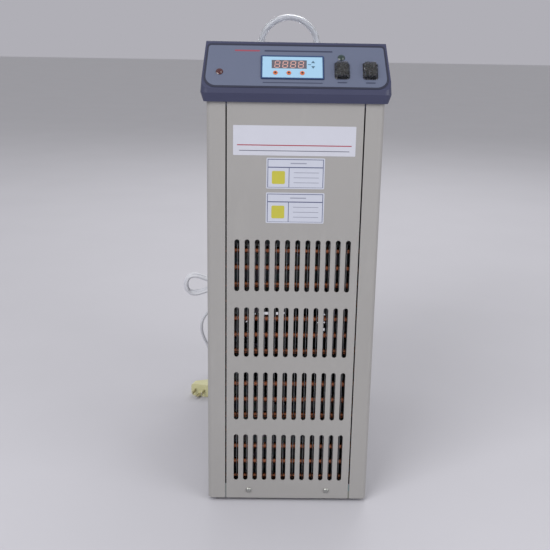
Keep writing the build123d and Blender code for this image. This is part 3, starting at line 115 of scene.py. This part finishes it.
class Finish:                                    # one material, built node by node
    def __init__(self, name):
        self.material = bpy.data.materials.new(name)
        self.material.use_nodes = True
        self.tree = self.material.node_tree
        self.shader = self.tree.nodes["Principled BSDF"]
        self.place = self.node("ShaderNodeTexCoord", output="Object")

    def node(self, kind, settings=None, inputs=None, output=0):
        made = self.tree.nodes.new(kind)
        for key, value in (settings or {}).items():
            setattr(made, key, value)
        for key, value in (inputs or {}).items():
            if isinstance(value, Value):
                self.tree.links.new(value.socket, made.inputs[key])
            else:
                made.inputs[key].default_value = value
        return Value(self, made.outputs[output])

    def noise(self, size, detail=3.0, stretch=(1, 1, 1)):    # size of its grain in millimetres
        where = self.node("ShaderNodeMapping", inputs={"Vector": self.place, "Scale": stretch})
        scale = {"Vector": where, "Scale": 1 / (size * mm), "Detail": detail}
        return self.node("ShaderNodeTexNoise", inputs=scale)

    def between(self, value, low, high):         # 0 at low, 1 at high, smooth
        limits = {"Value": value, "From Min": low, "From Max": high}
        return self.node("ShaderNodeMapRange", {"interpolation_type": "SMOOTHSTEP"}, limits)

    def mixed(self, factor, first, second):      # 6, 7 and output 2 are its colour sockets
        inputs = {0: factor, 6: first, 7: second}
        return self.node("ShaderNodeMix", {"data_type": "RGBA"}, inputs, 2)

    def bump(self, height, depth):               # depth in millimetres
        return self.node("ShaderNodeBump", inputs={"Height": height, "Distance": depth * mm})

    def surface(self, **sockets):
        for key, value in sockets.items():
            name = key.replace("_", " ")
            if isinstance(value, Value):
                self.tree.links.new(value.socket, self.shader.inputs[name])
            else:
                self.shader.inputs[name].default_value = value
        return self.material


def shaded(colour, share):                       # the same colour, lighter or darker
    return (*(level * share for level in colour[:3]), 1.0)


# Finishes
def paintedSheet(name, colour, peel=0.05):
    finish = Finish(name)
    clouds = finish.noise(160, 2)
    grain = finish.noise(0.9, 2)
    rubbed = finish.between(finish.noise(24, 5, (1, 1, 0.25)), 0.56, 0.72)
    tone = finish.mixed(clouds, shaded(colour, 0.955), shaded(colour, 1.045))
    tone = finish.mixed(rubbed * 0.35, tone, shaded(colour, 1.1))
    return finish.surface(
        Base_Color=tone,
        Roughness=0.46 + 0.12 * clouds - 0.08 * rubbed,
        Normal=finish.bump(grain, peel),
    )


def mouldedPlastic(name, colour, roughness=0.42, grainSize=0.5, grainDepth=0.03, haze=0.10):
    finish = Finish(name)
    clouds = finish.noise(70, 3)
    grain = finish.noise(grainSize, 2)
    handled = finish.between(finish.noise(18, 5), 0.55, 0.75)
    tone = finish.mixed(clouds, shaded(colour, 1 - haze), shaded(colour, 1 + haze))
    return finish.surface(
        Base_Color=tone,
        Roughness=roughness + 0.10 * clouds - 0.08 * handled,
        Normal=finish.bump(grain, grainDepth),
    )


def bareMetal(name, colour, roughness=0.32, brushed=(1, 1, 0.04), spangle=0.0, crystal=9):
    finish = Finish(name)
    lines = finish.noise(0.7, 2, brushed)
    patches = finish.noise(14, 4)
    tone = finish.mixed(patches, shaded(colour, 0.9), shaded(colour, 1.06))
    if spangle:
        cells = {"Vector": finish.place, "Scale": 1 / (crystal * mm)}
        crystals = finish.node("ShaderNodeTexVoronoi", inputs=cells, output=1)
        tone = finish.mixed(spangle, tone, crystals)
    return finish.surface(
        Base_Color=tone,
        Metallic=1.0,
        Roughness=roughness + 0.12 * patches,
        Normal=finish.bump(lines, 0.012),
    )


def softRubber(name, colour, roughness=0.7):
    finish = Finish(name)
    dust = finish.between(finish.noise(12, 5), 0.5, 0.8)
    grain = finish.noise(0.8, 3)
    return finish.surface(
        Base_Color=finish.mixed(dust * 0.4, colour, shaded(colour, 2.2)),
        Roughness=roughness + 0.12 * dust,
        Normal=finish.bump(grain, 0.05),
    )


def clearSkin(name, colour, roughness, index, transmission):
    finish = Finish(name)
    haze = finish.noise(5, 4)
    return finish.surface(
        Base_Color=finish.mixed(haze, shaded(colour, 0.94), colour),
        Roughness=roughness + 0.10 * haze,
        IOR=index,
        Transmission_Weight=transmission,
        Normal=finish.bump(haze, 0.06),
    )


def lampLens(name, colour):
    finish = Finish(name)
    flutes = finish.noise(1.2, 1)
    return finish.surface(
        Base_Color=finish.mixed(flutes, shaded(colour, 0.8), shaded(colour, 1.2)),
        Roughness=0.12 + 0.06 * flutes,
        Coat_Weight=0.6,
        Normal=finish.bump(flutes, 0.04),
    )


def printedFilm(name, colour, roughness=0.5):
    finish = Finish(name)
    grain = finish.noise(0.35, 2)
    clouds = finish.noise(40, 3)
    return finish.surface(
        Base_Color=finish.mixed(clouds, shaded(colour, 0.97), shaded(colour, 1.03)),
        Roughness=roughness + 0.08 * clouds,
        Normal=finish.bump(grain, 0.01),
    )


plugFace = {
    "middle": (-0.160, 0.152, 0.012),
    "turn": radians(18),
    "edge": (0.0001, 0.0003),                    # where its body ends and its pins start
    "pins": (196, 190, 170),
}


def plugFinish(name, colour):                    # moulded body, and metal past its face
    finish = Finish(name)
    out = (-sin(plugFace["turn"]), -cos(plugFace["turn"]), 0)
    spots = {0: finish.place, 1: plugFace["middle"]}
    offset = finish.node("ShaderNodeVectorMath", {"operation": "SUBTRACT"}, spots)
    lines = {0: offset, 1: out}
    along = finish.node("ShaderNodeVectorMath", {"operation": "DOT_PRODUCT"}, lines, "Value")
    pins = finish.between(along, *plugFace["edge"])
    clouds = finish.noise(15, 3)
    body = finish.mixed(clouds, shaded(colour, 0.93), shaded(colour, 1.05))
    return finish.surface(
        Base_Color=finish.mixed(pins, body, screenColour(*plugFace["pins"])),
        Metallic=pins,
        Roughness=0.38 + 0.1 * clouds - 0.12 * pins,
        Normal=finish.bump(finish.noise(0.8, 2), 0.02),
    )


cabinetGrey = screenColour(147, 145, 144)
finishes = {
    "cabinet_paint": paintedSheet("cabinetPaint", cabinetGrey),
    "grille_paint": paintedSheet("grillePaint", cabinetGrey),
    "tray_zinc": bareMetal("trayZinc", screenColour(150, 152, 155), 0.42, (1, 1, 1), 0.12),
    "stainless": bareMetal("stainless", screenColour(190, 190, 188), 0.26),
    "zinc_screw": bareMetal("zincScrew", screenColour(175, 176, 172), 0.3, (1, 1, 1)),
    "head_plastic": mouldedPlastic("headPlastic", screenColour(50, 53, 80), 0.40),
    "fascia_film": printedFilm("fasciaBorder", screenColour(30, 33, 54), 0.45),
    "controller_plastic": mouldedPlastic("controllerPlastic", screenColour(37, 62, 104), 0.34),
    "display_film": printedFilm("displayFilm", screenColour(146, 182, 208), 0.35),
    "digit_lens": lampLens("digitLens", screenColour(88, 84, 94)),
    "button_orange": mouldedPlastic("buttonOrange", screenColour(205, 104, 52), 0.35, 0.4, 0.01),
    "red_lens": lampLens("redLens", screenColour(66, 18, 24)),
    "green_lens": lampLens("greenLens", screenColour(20, 44, 42)),
    "switch_black": mouldedPlastic("switchBlack", screenColour(34, 34, 38), 0.38),
    "clear_silicone": clearSkin("clearSilicone", screenColour(222, 222, 224), 0.22, 1.41, 1.0),
    "rubber_black": softRubber("blackRubber", screenColour(34, 34, 34)),
    "foam_black": softRubber("blackFoam", screenColour(44, 44, 44), 0.85),
    "copper": bareMetal("copper", screenColour(196, 124, 92), 0.28, (1, 1, 1)),
    "fin_aluminium": bareMetal("finAluminium", screenColour(168, 170, 172), 0.36, (1, 1, 1)),
    # black enamel; on the base tray it is painted shade, so the gaps between the panels look dark
    # down to the floor
    "black_paint": paintedSheet("blackEnamelAndPaintedShade", screenColour(30, 30, 32), 0.03),
    "fan_plastic": mouldedPlastic("fanPlastic", screenColour(36, 36, 38), 0.5),
    "pump_plastic": mouldedPlastic("pumpPlastic", screenColour(62, 64, 66), 0.5),
    "tube_silicone": clearSkin("hoseSilicone", screenColour(236, 238, 244), 0.28, 1.40, 0.85),
    "brass_fitting": bareMetal("turnedBrass", screenColour(190, 162, 108), 0.26, (1, 1, 1)),
    "white_cord": mouldedPlastic("whiteCord", screenColour(200, 201, 208), 0.36, 1.0, 0.01, 0.03),
    "tie_white": mouldedPlastic("tieNylon", screenColour(214, 214, 210), 0.32, 0.6, 0.01, 0.03),
    "plug_yellow": plugFinish("plugYellow", screenColour(196, 193, 150)),
}


def dress(piece, slotName, body, finish=None):   # finish, slot and body of a new piece
    piece.data.materials.clear()
    piece.data.materials.append(finish or finishes[slotName])
    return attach(piece, body)


# Each node of the frame gets the finish of its slot
for part in frame["record"]["subparts"]:
    slots = nodes[part["node"]].data.materials
    if len(slots) == 0:
        slots.append(None)
    for index in range(len(slots)):
        slots[index] = finishes[part["material_slot"]]
print("finishes on", len(nodes), "nodes")


# Cords: the routes of the source, in metres
mainsLead = {
    "diameter": 0.006,
    "bevelSteps": 3,
    "length": 1.8,
    "down": [
        (-0.0700, 0.2260, 0.3360), (-0.0700, 0.2440, 0.3360), (-0.0700, 0.2605, 0.3265),
        (-0.0700, 0.2700, 0.3100), (-0.0700, 0.2700, 0.2910), (-0.0695, 0.2620, 0.2738),
        (-0.0690, 0.2540, 0.2585), (-0.0680, 0.2505, 0.2420), (-0.0620, 0.2500, 0.2280),
    ],
    "tail": [
        (-0.1320, 0.2400, 0.1780), (-0.1330, 0.2425, 0.1625), (-0.1425, 0.2435, 0.1495),
        (-0.1545, 0.2455, 0.1365), (-0.1625, 0.2490, 0.1195), (-0.1640, 0.2545, 0.1010),
        (-0.1605, 0.2620, 0.0835), (-0.1545, 0.2700, 0.0665), (-0.1485, 0.2760, 0.0490),
        (-0.1430, 0.2760, 0.0310), (-0.1390, 0.2665, 0.0155), (-0.1365, 0.2505, 0.0060),
        (-0.1360, 0.2320, 0.0039), (-0.1400, 0.2150, 0.0075), (-0.14517, 0.19765, 0.0120),
    ],
}
hank = {
    "middle": (-0.1185, 0.2420, 0.2010),
    "loops": [                                   # half the width and height of each turn
        (0.0765, 0.0500), (0.0740, 0.0540), (0.0775, 0.0470), (0.0735, 0.0510),
    ],
    "waist": 0.0042,                             # half the hank's height at the tie
    "layer": 0.0062,                             # from one turn to the next
    "layerShift": 0.4,                           # keeps the turns about the middle, in layers
    "pointsPerTurn": 16,
    "leftOut": 2,                                # points of the last turn that the tail takes over
}


def hankTurns(settings):                         # clockwise turns, pinched by the tie
    middle = Vector(settings["middle"])
    count = len(settings["loops"])
    steps = settings["pointsPerTurn"]
    points = []
    for index in range(count * steps - settings["leftOut"]):
        turn = index / steps
        reach, height = settings["loops"][int(turn)]
        angle = -2 * pi * turn
        pinch = settings["waist"] / height
        spread = pinch + (1 - pinch) * cos(angle) ** 2
        layer = ((count - 1) / 2 - turn + settings["layerShift"]) * settings["layer"]
        points.append(middle + Vector((reach * cos(angle), layer, height * sin(angle) * spread)))
    return points


def nurbsLine(name, points, order=3, steps=6):
    curve = bpy.data.curves.new(name, "CURVE")
    curve.dimensions = "3D"
    spline = curve.splines.new("NURBS")
    spline.points.add(len(points) - 1)
    for spot, point in zip(spline.points, points):
        spot.co = (*point, 1)
    spline.order_u = order
    spline.use_endpoint_u = True
    spline.resolution_u = steps
    return linked(name, curve)


def makeMainsLead():
    points = mainsLead["down"] + hankTurns(hank) + mainsLead["tail"]
    cord = nurbsLine("mains_lead", points)
    cord.data.bevel_depth = mainsLead["diameter"] / 2
    cord.data.bevel_resolution = mainsLead["bevelSteps"]
    cord.data.use_fill_caps = True
    dress(cord, "white_cord", "cabinet")
    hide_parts("power_cord_lead", "cord_hank", "power_cord_tail")


makeMainsLead()

hoseArch = {
    "nippleX": 0.050,
    "y": 0.164,
    "seat": 0.640,                               # height of its two ends
    "middle": 0.6604,                            # height of the arch's centre
    "radius": 0.05176,
    "angles": [165, 135, 105, 75, 45, 15],
    "outer": 0.011,
    "bore": 0.008,
    "length": 0.198,
}


def smoothLine(curveObject):                     # points of a curve, as Blender draws it
    graph = bpy.context.evaluated_depsgraph_get()
    mesh = bpy.data.meshes.new_from_object(curveObject.evaluated_get(graph))
    line = [vertex.co.copy() for vertex in mesh.vertices]
    bpy.data.meshes.remove(mesh)
    return line


def tubeAlong(name, line, outer, bore, sides=24):
    form = bmesh.new()
    across = Vector((0, 1, 0))
    shells = []
    for radius in (outer / 2, bore / 2):
        rings = []
        for index, spot in enumerate(line):
            ahead = line[min(index + 1, len(line) - 1)] - line[max(index - 1, 0)]
            lift = ahead.normalized().cross(across).normalized()
            ring = []
            for side in range(sides):
                angle = 2 * pi * side / sides
                outwards = cos(angle) * across + sin(angle) * lift
                ring.append(form.verts.new(spot + radius * outwards))
            rings.append(ring)
        shells.append(rings)
    for shell in shells:
        for lower, upper in zip(shell, shell[1:]):
            for side in range(sides):
                after = (side + 1) % sides
                form.faces.new((lower[side], lower[after], upper[after], upper[side]))
    for end in (0, -1):
        for side in range(sides):
            after = (side + 1) % sides
            inner, rim = shells[1][end], shells[0][end]
            form.faces.new((inner[side], inner[after], rim[after], rim[side]))
    bmesh.ops.recalc_face_normals(form, faces=form.faces)
    for face in form.faces:
        face.smooth = True
    mesh = bpy.data.meshes.new(name)
    form.to_mesh(mesh)
    form.free()
    return linked(name, mesh)


def makeHoseArch(settings):
    points = [(-settings["nippleX"], settings["y"], settings["seat"])]
    for angle in settings["angles"]:
        reach = settings["radius"] * cos(radians(angle))
        rise = settings["radius"] * sin(radians(angle))
        points.append((reach, settings["y"], settings["middle"] + rise))
    points.append((settings["nippleX"], settings["y"], settings["seat"]))
    guide = nurbsLine("hose_guide", points)
    line = smoothLine(guide)
    bpy.data.objects.remove(guide)
    hose = tubeAlong("deck_hose", line, settings["outer"], settings["bore"])
    dress(hose, "tube_silicone", "cabinet")
    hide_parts("hose_loop")


makeHoseArch(hoseArch)
print("mains lead and deck hose laid")


# Printed films and labels: flat outlines given a thickness and put on their plane
def roundedOutline(corners, radius, steps=8):
    points = []
    count = len(corners)
    for index, corner in enumerate(corners):
        here = Vector(corner)
        before = (Vector(corners[index - 1]) - here).normalized()
        after = (Vector(corners[(index + 1) % count]) - here).normalized()
        size = radius[index] if isinstance(radius, (list, tuple)) else radius
        if size == 0:
            points.append(here)
            continue
        half = before.angle(after) / 2
        centre = here + (before + after).normalized() * size / sin(half)
        start = here + before * size / tan(half) - centre
        turn = (pi - 2 * half) * (1 if before.cross(after) < 0 else -1)
        for step in range(steps + 1):
            points.append(centre + Matrix.Rotation(turn * step / steps, 2) @ start)
    return points


def box(x, y, width, height, radius=0.0):        # middle and size in millimetres
    left, right = x - width / 2, x + width / 2
    low, top = y - height / 2, y + height / 2
    return roundedOutline([(left, low), (right, low), (right, top), (left, top)], radius)


def disc(x, y, diameter, steps=36):
    radius = diameter / 2
    angles = [2 * pi * step / steps for step in range(steps)]
    return [Vector((x + radius * cos(angle), y + radius * sin(angle))) for angle in angles]


def printed(name, outlines, thickness, place, rise, slotName, finish, body="cabinet"):
    curve = bpy.data.curves.new(name, "CURVE")
    curve.dimensions = "2D"
    curve.fill_mode = "BOTH"
    for outline in outlines:
        spline = curve.splines.new("POLY")
        spline.points.add(len(outline) - 1)
        spline.use_cyclic_u = True
        for spot, point in zip(spline.points, outline):
            spot.co = (point[0] * mm, point[1] * mm, 0, 1)
    curve.extrude = thickness * mm / 2
    flat = linked(name, curve)
    graph = bpy.context.evaluated_depsgraph_get()
    mesh = bpy.data.meshes.new_from_object(flat.evaluated_get(graph))
    bpy.data.objects.remove(flat)
    mesh.transform(place @ Matrix.Translation((0, 0, (rise + thickness / 2) * mm)))
    return dress(linked(name, mesh), slotName, body, finish)


def plane(foot, slope):                          # lowest line in metres, slope in degrees
    return Matrix.Translation(foot) @ Matrix.Rotation(radians(slope), 4, "X")


panelPlane = plane((0, -0.243454, 0.619), 51)
frontPlane = plane((0, -0.236, 0), 90)

# Heights of the panel's faces above its plane, and the thickness of print, in millimetres
filmTop = 0.6
windowTop = 1.8
digitTop = 1.6
buttonTop = 2.7
ink = 0.06

fasciaField = {
    "low": (122.0, 4.2),
    "top": (117.9, 68.6),
    "radii": (14.0, 14.0, 4.0, 4.0),
    "thickness": 0.12,
    "display": (-5.2, 33.8, 85.0, 38.0, 2.0),
    "lamps": [(-102.7, 25.8), (60.7, 50.9)],
    "lampHole": 9.8,
    "switches": [(61.2, 29.9), (99.1, 29.9)],
    "switchHole": (20.4, 27.6, 4.0),
    "colour": (87, 94, 116),
}
fieldFinish = printedFilm("fasciaField", screenColour(*fasciaField["colour"]), roughness=0.42)


def makeFasciaField(settings):
    (lowHalf, lowV), (topHalf, topV) = settings["low"], settings["top"]
    corners = [(-lowHalf, lowV), (lowHalf, lowV), (topHalf, topV), (-topHalf, topV)]
    outlines = [roundedOutline(corners, settings["radii"]), box(*settings["display"])]
    outlines += [disc(x, v, settings["lampHole"]) for x, v in settings["lamps"]]
    outlines += [box(x, v, *settings["switchHole"]) for x, v in settings["switches"]]
    thickness = settings["thickness"]
    printed("fascia_field", outlines, thickness, panelPlane, filmTop, "fascia_film", fieldFinish)


makeFasciaField(fasciaField)

panelPrint = {
    "redStripe": (-66.0, 60.5, 34.0, 2.4, 1.1),
    "darkBars": [
        (3.0, 60.5, 92.0, 2.4, 1.1), (-5.0, 9.6, 80.0, 1.4, 0.6),
        (61.2, 11.2, 13.0, 1.8, 0.8), (99.1, 11.2, 13.0, 1.8, 0.8),
    ],
    "red": (138, 62, 78),
    "dark": (44, 50, 74),
}
redInk = printedFilm("redInk", screenColour(*panelPrint["red"]), roughness=0.4)
darkInk = printedFilm("darkInk", screenColour(*panelPrint["dark"]), roughness=0.4)


def makePanelPrint(settings):
    rise = filmTop + fasciaField["thickness"]
    stripe = [box(*settings["redStripe"])]
    bars = [box(*bar) for bar in settings["darkBars"]]
    printed("panel_red_stripe", stripe, ink, panelPlane, rise, "fascia_film", redInk)
    printed("panel_dark_bars", bars, ink, panelPlane, rise, "fascia_film", darkInk)


makePanelPrint(panelPrint)

digits = {
    "middle": (-9.6, 38.4),
    "pitch": 10.6,
    "width": 6.2,
    "height": 10.4,
    "stroke": 1.15,
    "gaps": (1.0, 0.6),                          # how much shorter level and upright bars are
    "lean": 0.10,
    "count": 4,
    "colour": (196, 150, 142),
}
segmentFinish = printedFilm("digitSegments", screenColour(*digits["colour"]), roughness=0.35)


def segment(x, y, length, stroke, upright):      # a bar with pointed ends
    half, side = length / 2, stroke / 2
    inner = half - side
    outline = [(-half, 0), (-inner, -side), (inner, -side)]
    outline += [(-u, -v) for u, v in outline]
    if upright:
        outline = [(-v, u) for u, v in outline]
    return [(x + u, y + v) for u, v in outline]


def makeDigits(settings):
    outlines = []
    width, height, stroke = settings["width"], settings["height"], settings["stroke"]
    middle, y = settings["middle"]
    level, upright = width - settings["gaps"][0], height / 2 - settings["gaps"][1]
    for index in range(settings["count"]):
        x = middle + (index - (settings["count"] - 1) / 2) * settings["pitch"]
        bars = [segment(x, y + row * height / 2, level, stroke, False) for row in (-1, 0, 1)]
        for side, row in ((-1, -1), (-1, 1), (1, -1), (1, 1)):
            spot = (x + side * width / 2, y + row * height / 4)
            bars.append(segment(*spot, upright, stroke, True))
        for bar in bars:
            outlines.append([(u + (v - y) * settings["lean"], v) for u, v in bar])
    printed("digit_segments", outlines, ink, panelPlane, digitTop, "digit_lens", segmentFinish)


makeDigits(digits)

keyMarks = {
    "x": (-28.1, -10.1, 7.9),
    "v": 24.5,
    "diameter": 3.2,
    "steps": 24,
    "bodies": ("set_key", "down_key", "up_key"),
    "colour": (52, 44, 50),
}
markFinish = printedFilm("keyMark", screenColour(*keyMarks["colour"]), roughness=0.4)
for x, body in zip(keyMarks["x"], keyMarks["bodies"]):
    outline = [disc(x, keyMarks["v"], keyMarks["diameter"], keyMarks["steps"])]
    printed(body + "_mark", outline, ink, panelPlane, buttonTop, "button_orange", markFinish, body)

displayMarks = {
    "x": 22.5,
    "v": 42.2,
    "size": 2.6,
    "gap": 7.6,
    "bar": (17.6, 38.4, 4.2, 1.1, 0.4),
    "colour": (64, 92, 112),
}


def makeDisplayMarks(settings):                  # up and down arrows beside the digits
    x, v, size = settings["x"], settings["v"], settings["size"]
    up = [(x - size, v - size / 2), (x + size, v - size / 2), (x, v + size)]
    low = v - settings["gap"]
    down = [(x - size, low + size / 2), (x, low - size), (x + size, low + size / 2)]
    finish = printedFilm("displayInk", screenColour(*settings["colour"]), roughness=0.4)
    outlines = [up, down, box(*settings["bar"])]
    printed("display_marks", outlines, ink, panelPlane, windowTop, "display_film", finish)


makeDisplayMarks(displayMarks)
print("control panel printed")

labelGloss = 0.38                                # roughness of the label and the stickers
frontLabel = {
    "plate": (-0.75, 549.75, 166.5, 40.5, 1.0),
    "thickness": 0.25,
    "rule": (-0.8, 543.5, 155.6, 1.3),
    "lowRule": (-0.8, 536.0, 150.0, 1.0),
    "white": (186, 187, 198),
    "red": (150, 40, 58),
    "grey": (96, 98, 112),
}
stickers = {
    "plates": [(1.6, 505.2, 80.0, 42.6), (1.9, 457.0, 80.6, 43.0)],
    "corner": 1.5,
    "thickness": 0.2,
    "edge": 1.7,
    "line": 0.9,
    "header": 11.5,
    "cell": 30.0,
    "square": (18.0, 18.0, 2.0),
    "rules": 3,
    "ruleInset": 12,
    "headMark": (22, 1.6),
    "headMarkX": 4,
    "white": (182, 185, 198),
    "blue": (74, 80, 112),
    "yellow": (176, 170, 62),
    "grey": (138, 141, 156),
}


def onFront(name, outlines, thickness, rise, finish):
    printed(name, outlines, thickness, frontPlane, rise, "fascia_film", finish)


def makeFrontLabel(settings):
    film = printedFilm("labelFilm", screenColour(*settings["white"]), labelGloss)
    red = printedFilm("labelRed", screenColour(*settings["red"]), labelGloss)
    grey = printedFilm("labelGrey", screenColour(*settings["grey"]), labelGloss)
    top = settings["thickness"]
    onFront("front_label", [box(*settings["plate"])], top, 0, film)
    onFront("front_label_rule", [box(*settings["rule"])], ink, top, red)
    onFront("front_label_low_rule", [box(*settings["lowRule"])], ink, top, grey)


def makeStickers(settings):
    film = printedFilm("stickerFilm", screenColour(*settings["white"]), labelGloss)
    blue = printedFilm("stickerBlue", screenColour(*settings["blue"]), labelGloss)
    yellow = printedFilm("stickerYellow", screenColour(*settings["yellow"]), labelGloss)
    grey = printedFilm("stickerGrey", screenColour(*settings["grey"]), labelGloss)
    plates, lines, squares, rules = [], [], [], []
    line, cellWidth, thickness = settings["line"], settings["cell"], settings["thickness"]
    for x, z, width, height in settings["plates"]:
        plates.append(box(x, z, width, height, settings["corner"]))
        inWidth, inHeight = width - 2 * settings["edge"], height - 2 * settings["edge"]
        left, top, low = x - inWidth / 2, z + inHeight / 2, z - inHeight / 2
        headLine = top - settings["header"]
        headMiddle = (top + headLine) / 2
        cellX, cellMiddle = left + cellWidth / 2, (headLine + low) / 2
        cellHeight = headLine - low
        lines.append(box(x, z, inWidth, inHeight))
        lines.append(box(x, headMiddle, inWidth - 2 * line, settings["header"] - 2 * line))
        lines.append(box(cellX, cellMiddle, cellWidth - 2 * line, cellHeight - line))
        restWidth = inWidth - cellWidth
        restMiddle = left + cellWidth + restWidth / 2
        lines.append(box(restMiddle - line / 2, cellMiddle, restWidth - line, cellHeight - line))
        squares.append(box(cellX, cellMiddle, *settings["square"]))
        for row in range(settings["rules"]):
            v = headLine - cellHeight * (row + 1) / (settings["rules"] + 1)
            rules.append(box(restMiddle, v, restWidth - settings["ruleInset"], line))
        rules.append(box(x + settings["headMarkX"], headMiddle, *settings["headMark"]))
    onFront("sticker_films", plates, thickness, 0, film)
    onFront("sticker_frames", lines, ink, thickness, blue)
    onFront("sticker_yellow_fields", squares, ink, thickness, yellow)
    onFront("sticker_rules", rules, ink, thickness, grey)


makeFrontLabel(frontLabel)
makeStickers(stickers)
print("label and stickers on")


# Plain studio: pale floor, key light from the front left, weak fill from the right, and one behind
studio = {
    "floorColour": (186, 185, 192),
    "skyColour": (176, 175, 182),
    "floorSize": 14.0,
    "skyStrength": 0.62,
    "lamps": [
        {"name": "key", "from": (-1.5, -2.2, 2.3), "size": 1.8, "watts": 62},
        {"name": "fill", "from": (1.9, -1.7, 1.2), "size": 1.6, "watts": 24},
        {"name": "back", "from": (0.4, 2.3, 2.4), "size": 1.6, "watts": 30},
    ],
    "target": (0, -0.05, 0.3),
}


def makeStudio(settings):
    mesh = bpy.data.meshes.new("floor")
    side = settings["floorSize"]
    corners = [(-side, -side, 0), (side, -side, 0), (side, side, 0), (-side, side, 0)]
    mesh.from_pydata(corners, [], [(0, 1, 2, 3)])
    floor = linked("floor", mesh)
    finish = Finish("floorCloth")
    colour = screenColour(*settings["floorColour"])
    clouds = finish.noise(260, 3)
    tone = finish.mixed(clouds, shaded(colour, 0.97), shaded(colour, 1.03))
    mesh.materials.append(finish.surface(Base_Color=tone, Roughness=0.85, Specular_IOR_Level=0.2))
    for lamp in settings["lamps"]:
        data = bpy.data.lights.new(lamp["name"], "AREA")
        data.size = lamp["size"]
        data.energy = lamp["watts"]
        light = linked(lamp["name"], data)
        light.location = lamp["from"]
        aim = Vector(settings["target"]) - Vector(lamp["from"])
        light.rotation_euler = aim.to_track_quat("-Z", "Y").to_euler()
    world = bpy.data.worlds.new("studio")
    world.use_nodes = True
    bpy.context.scene.world = world
    tree = world.node_tree
    backdrop = tree.nodes["Background"]
    backdrop.inputs["Color"].default_value = screenColour(*settings["skyColour"])
    backdrop.inputs["Strength"].default_value = 1.0
    soft = tree.nodes.new("ShaderNodeBackground")
    soft.inputs["Color"].default_value = (1, 1, 1, 1)
    soft.inputs["Strength"].default_value = settings["skyStrength"]
    path = tree.nodes.new("ShaderNodeLightPath")
    choose = tree.nodes.new("ShaderNodeMixShader")
    tree.links.new(path.outputs["Is Camera Ray"], choose.inputs[0])
    tree.links.new(soft.outputs[0], choose.inputs[1])
    tree.links.new(backdrop.outputs[0], choose.inputs[2])
    tree.links.new(choose.outputs[0], tree.nodes["World Output"].inputs["Surface"])


makeStudio(studio)
print("studio lit")
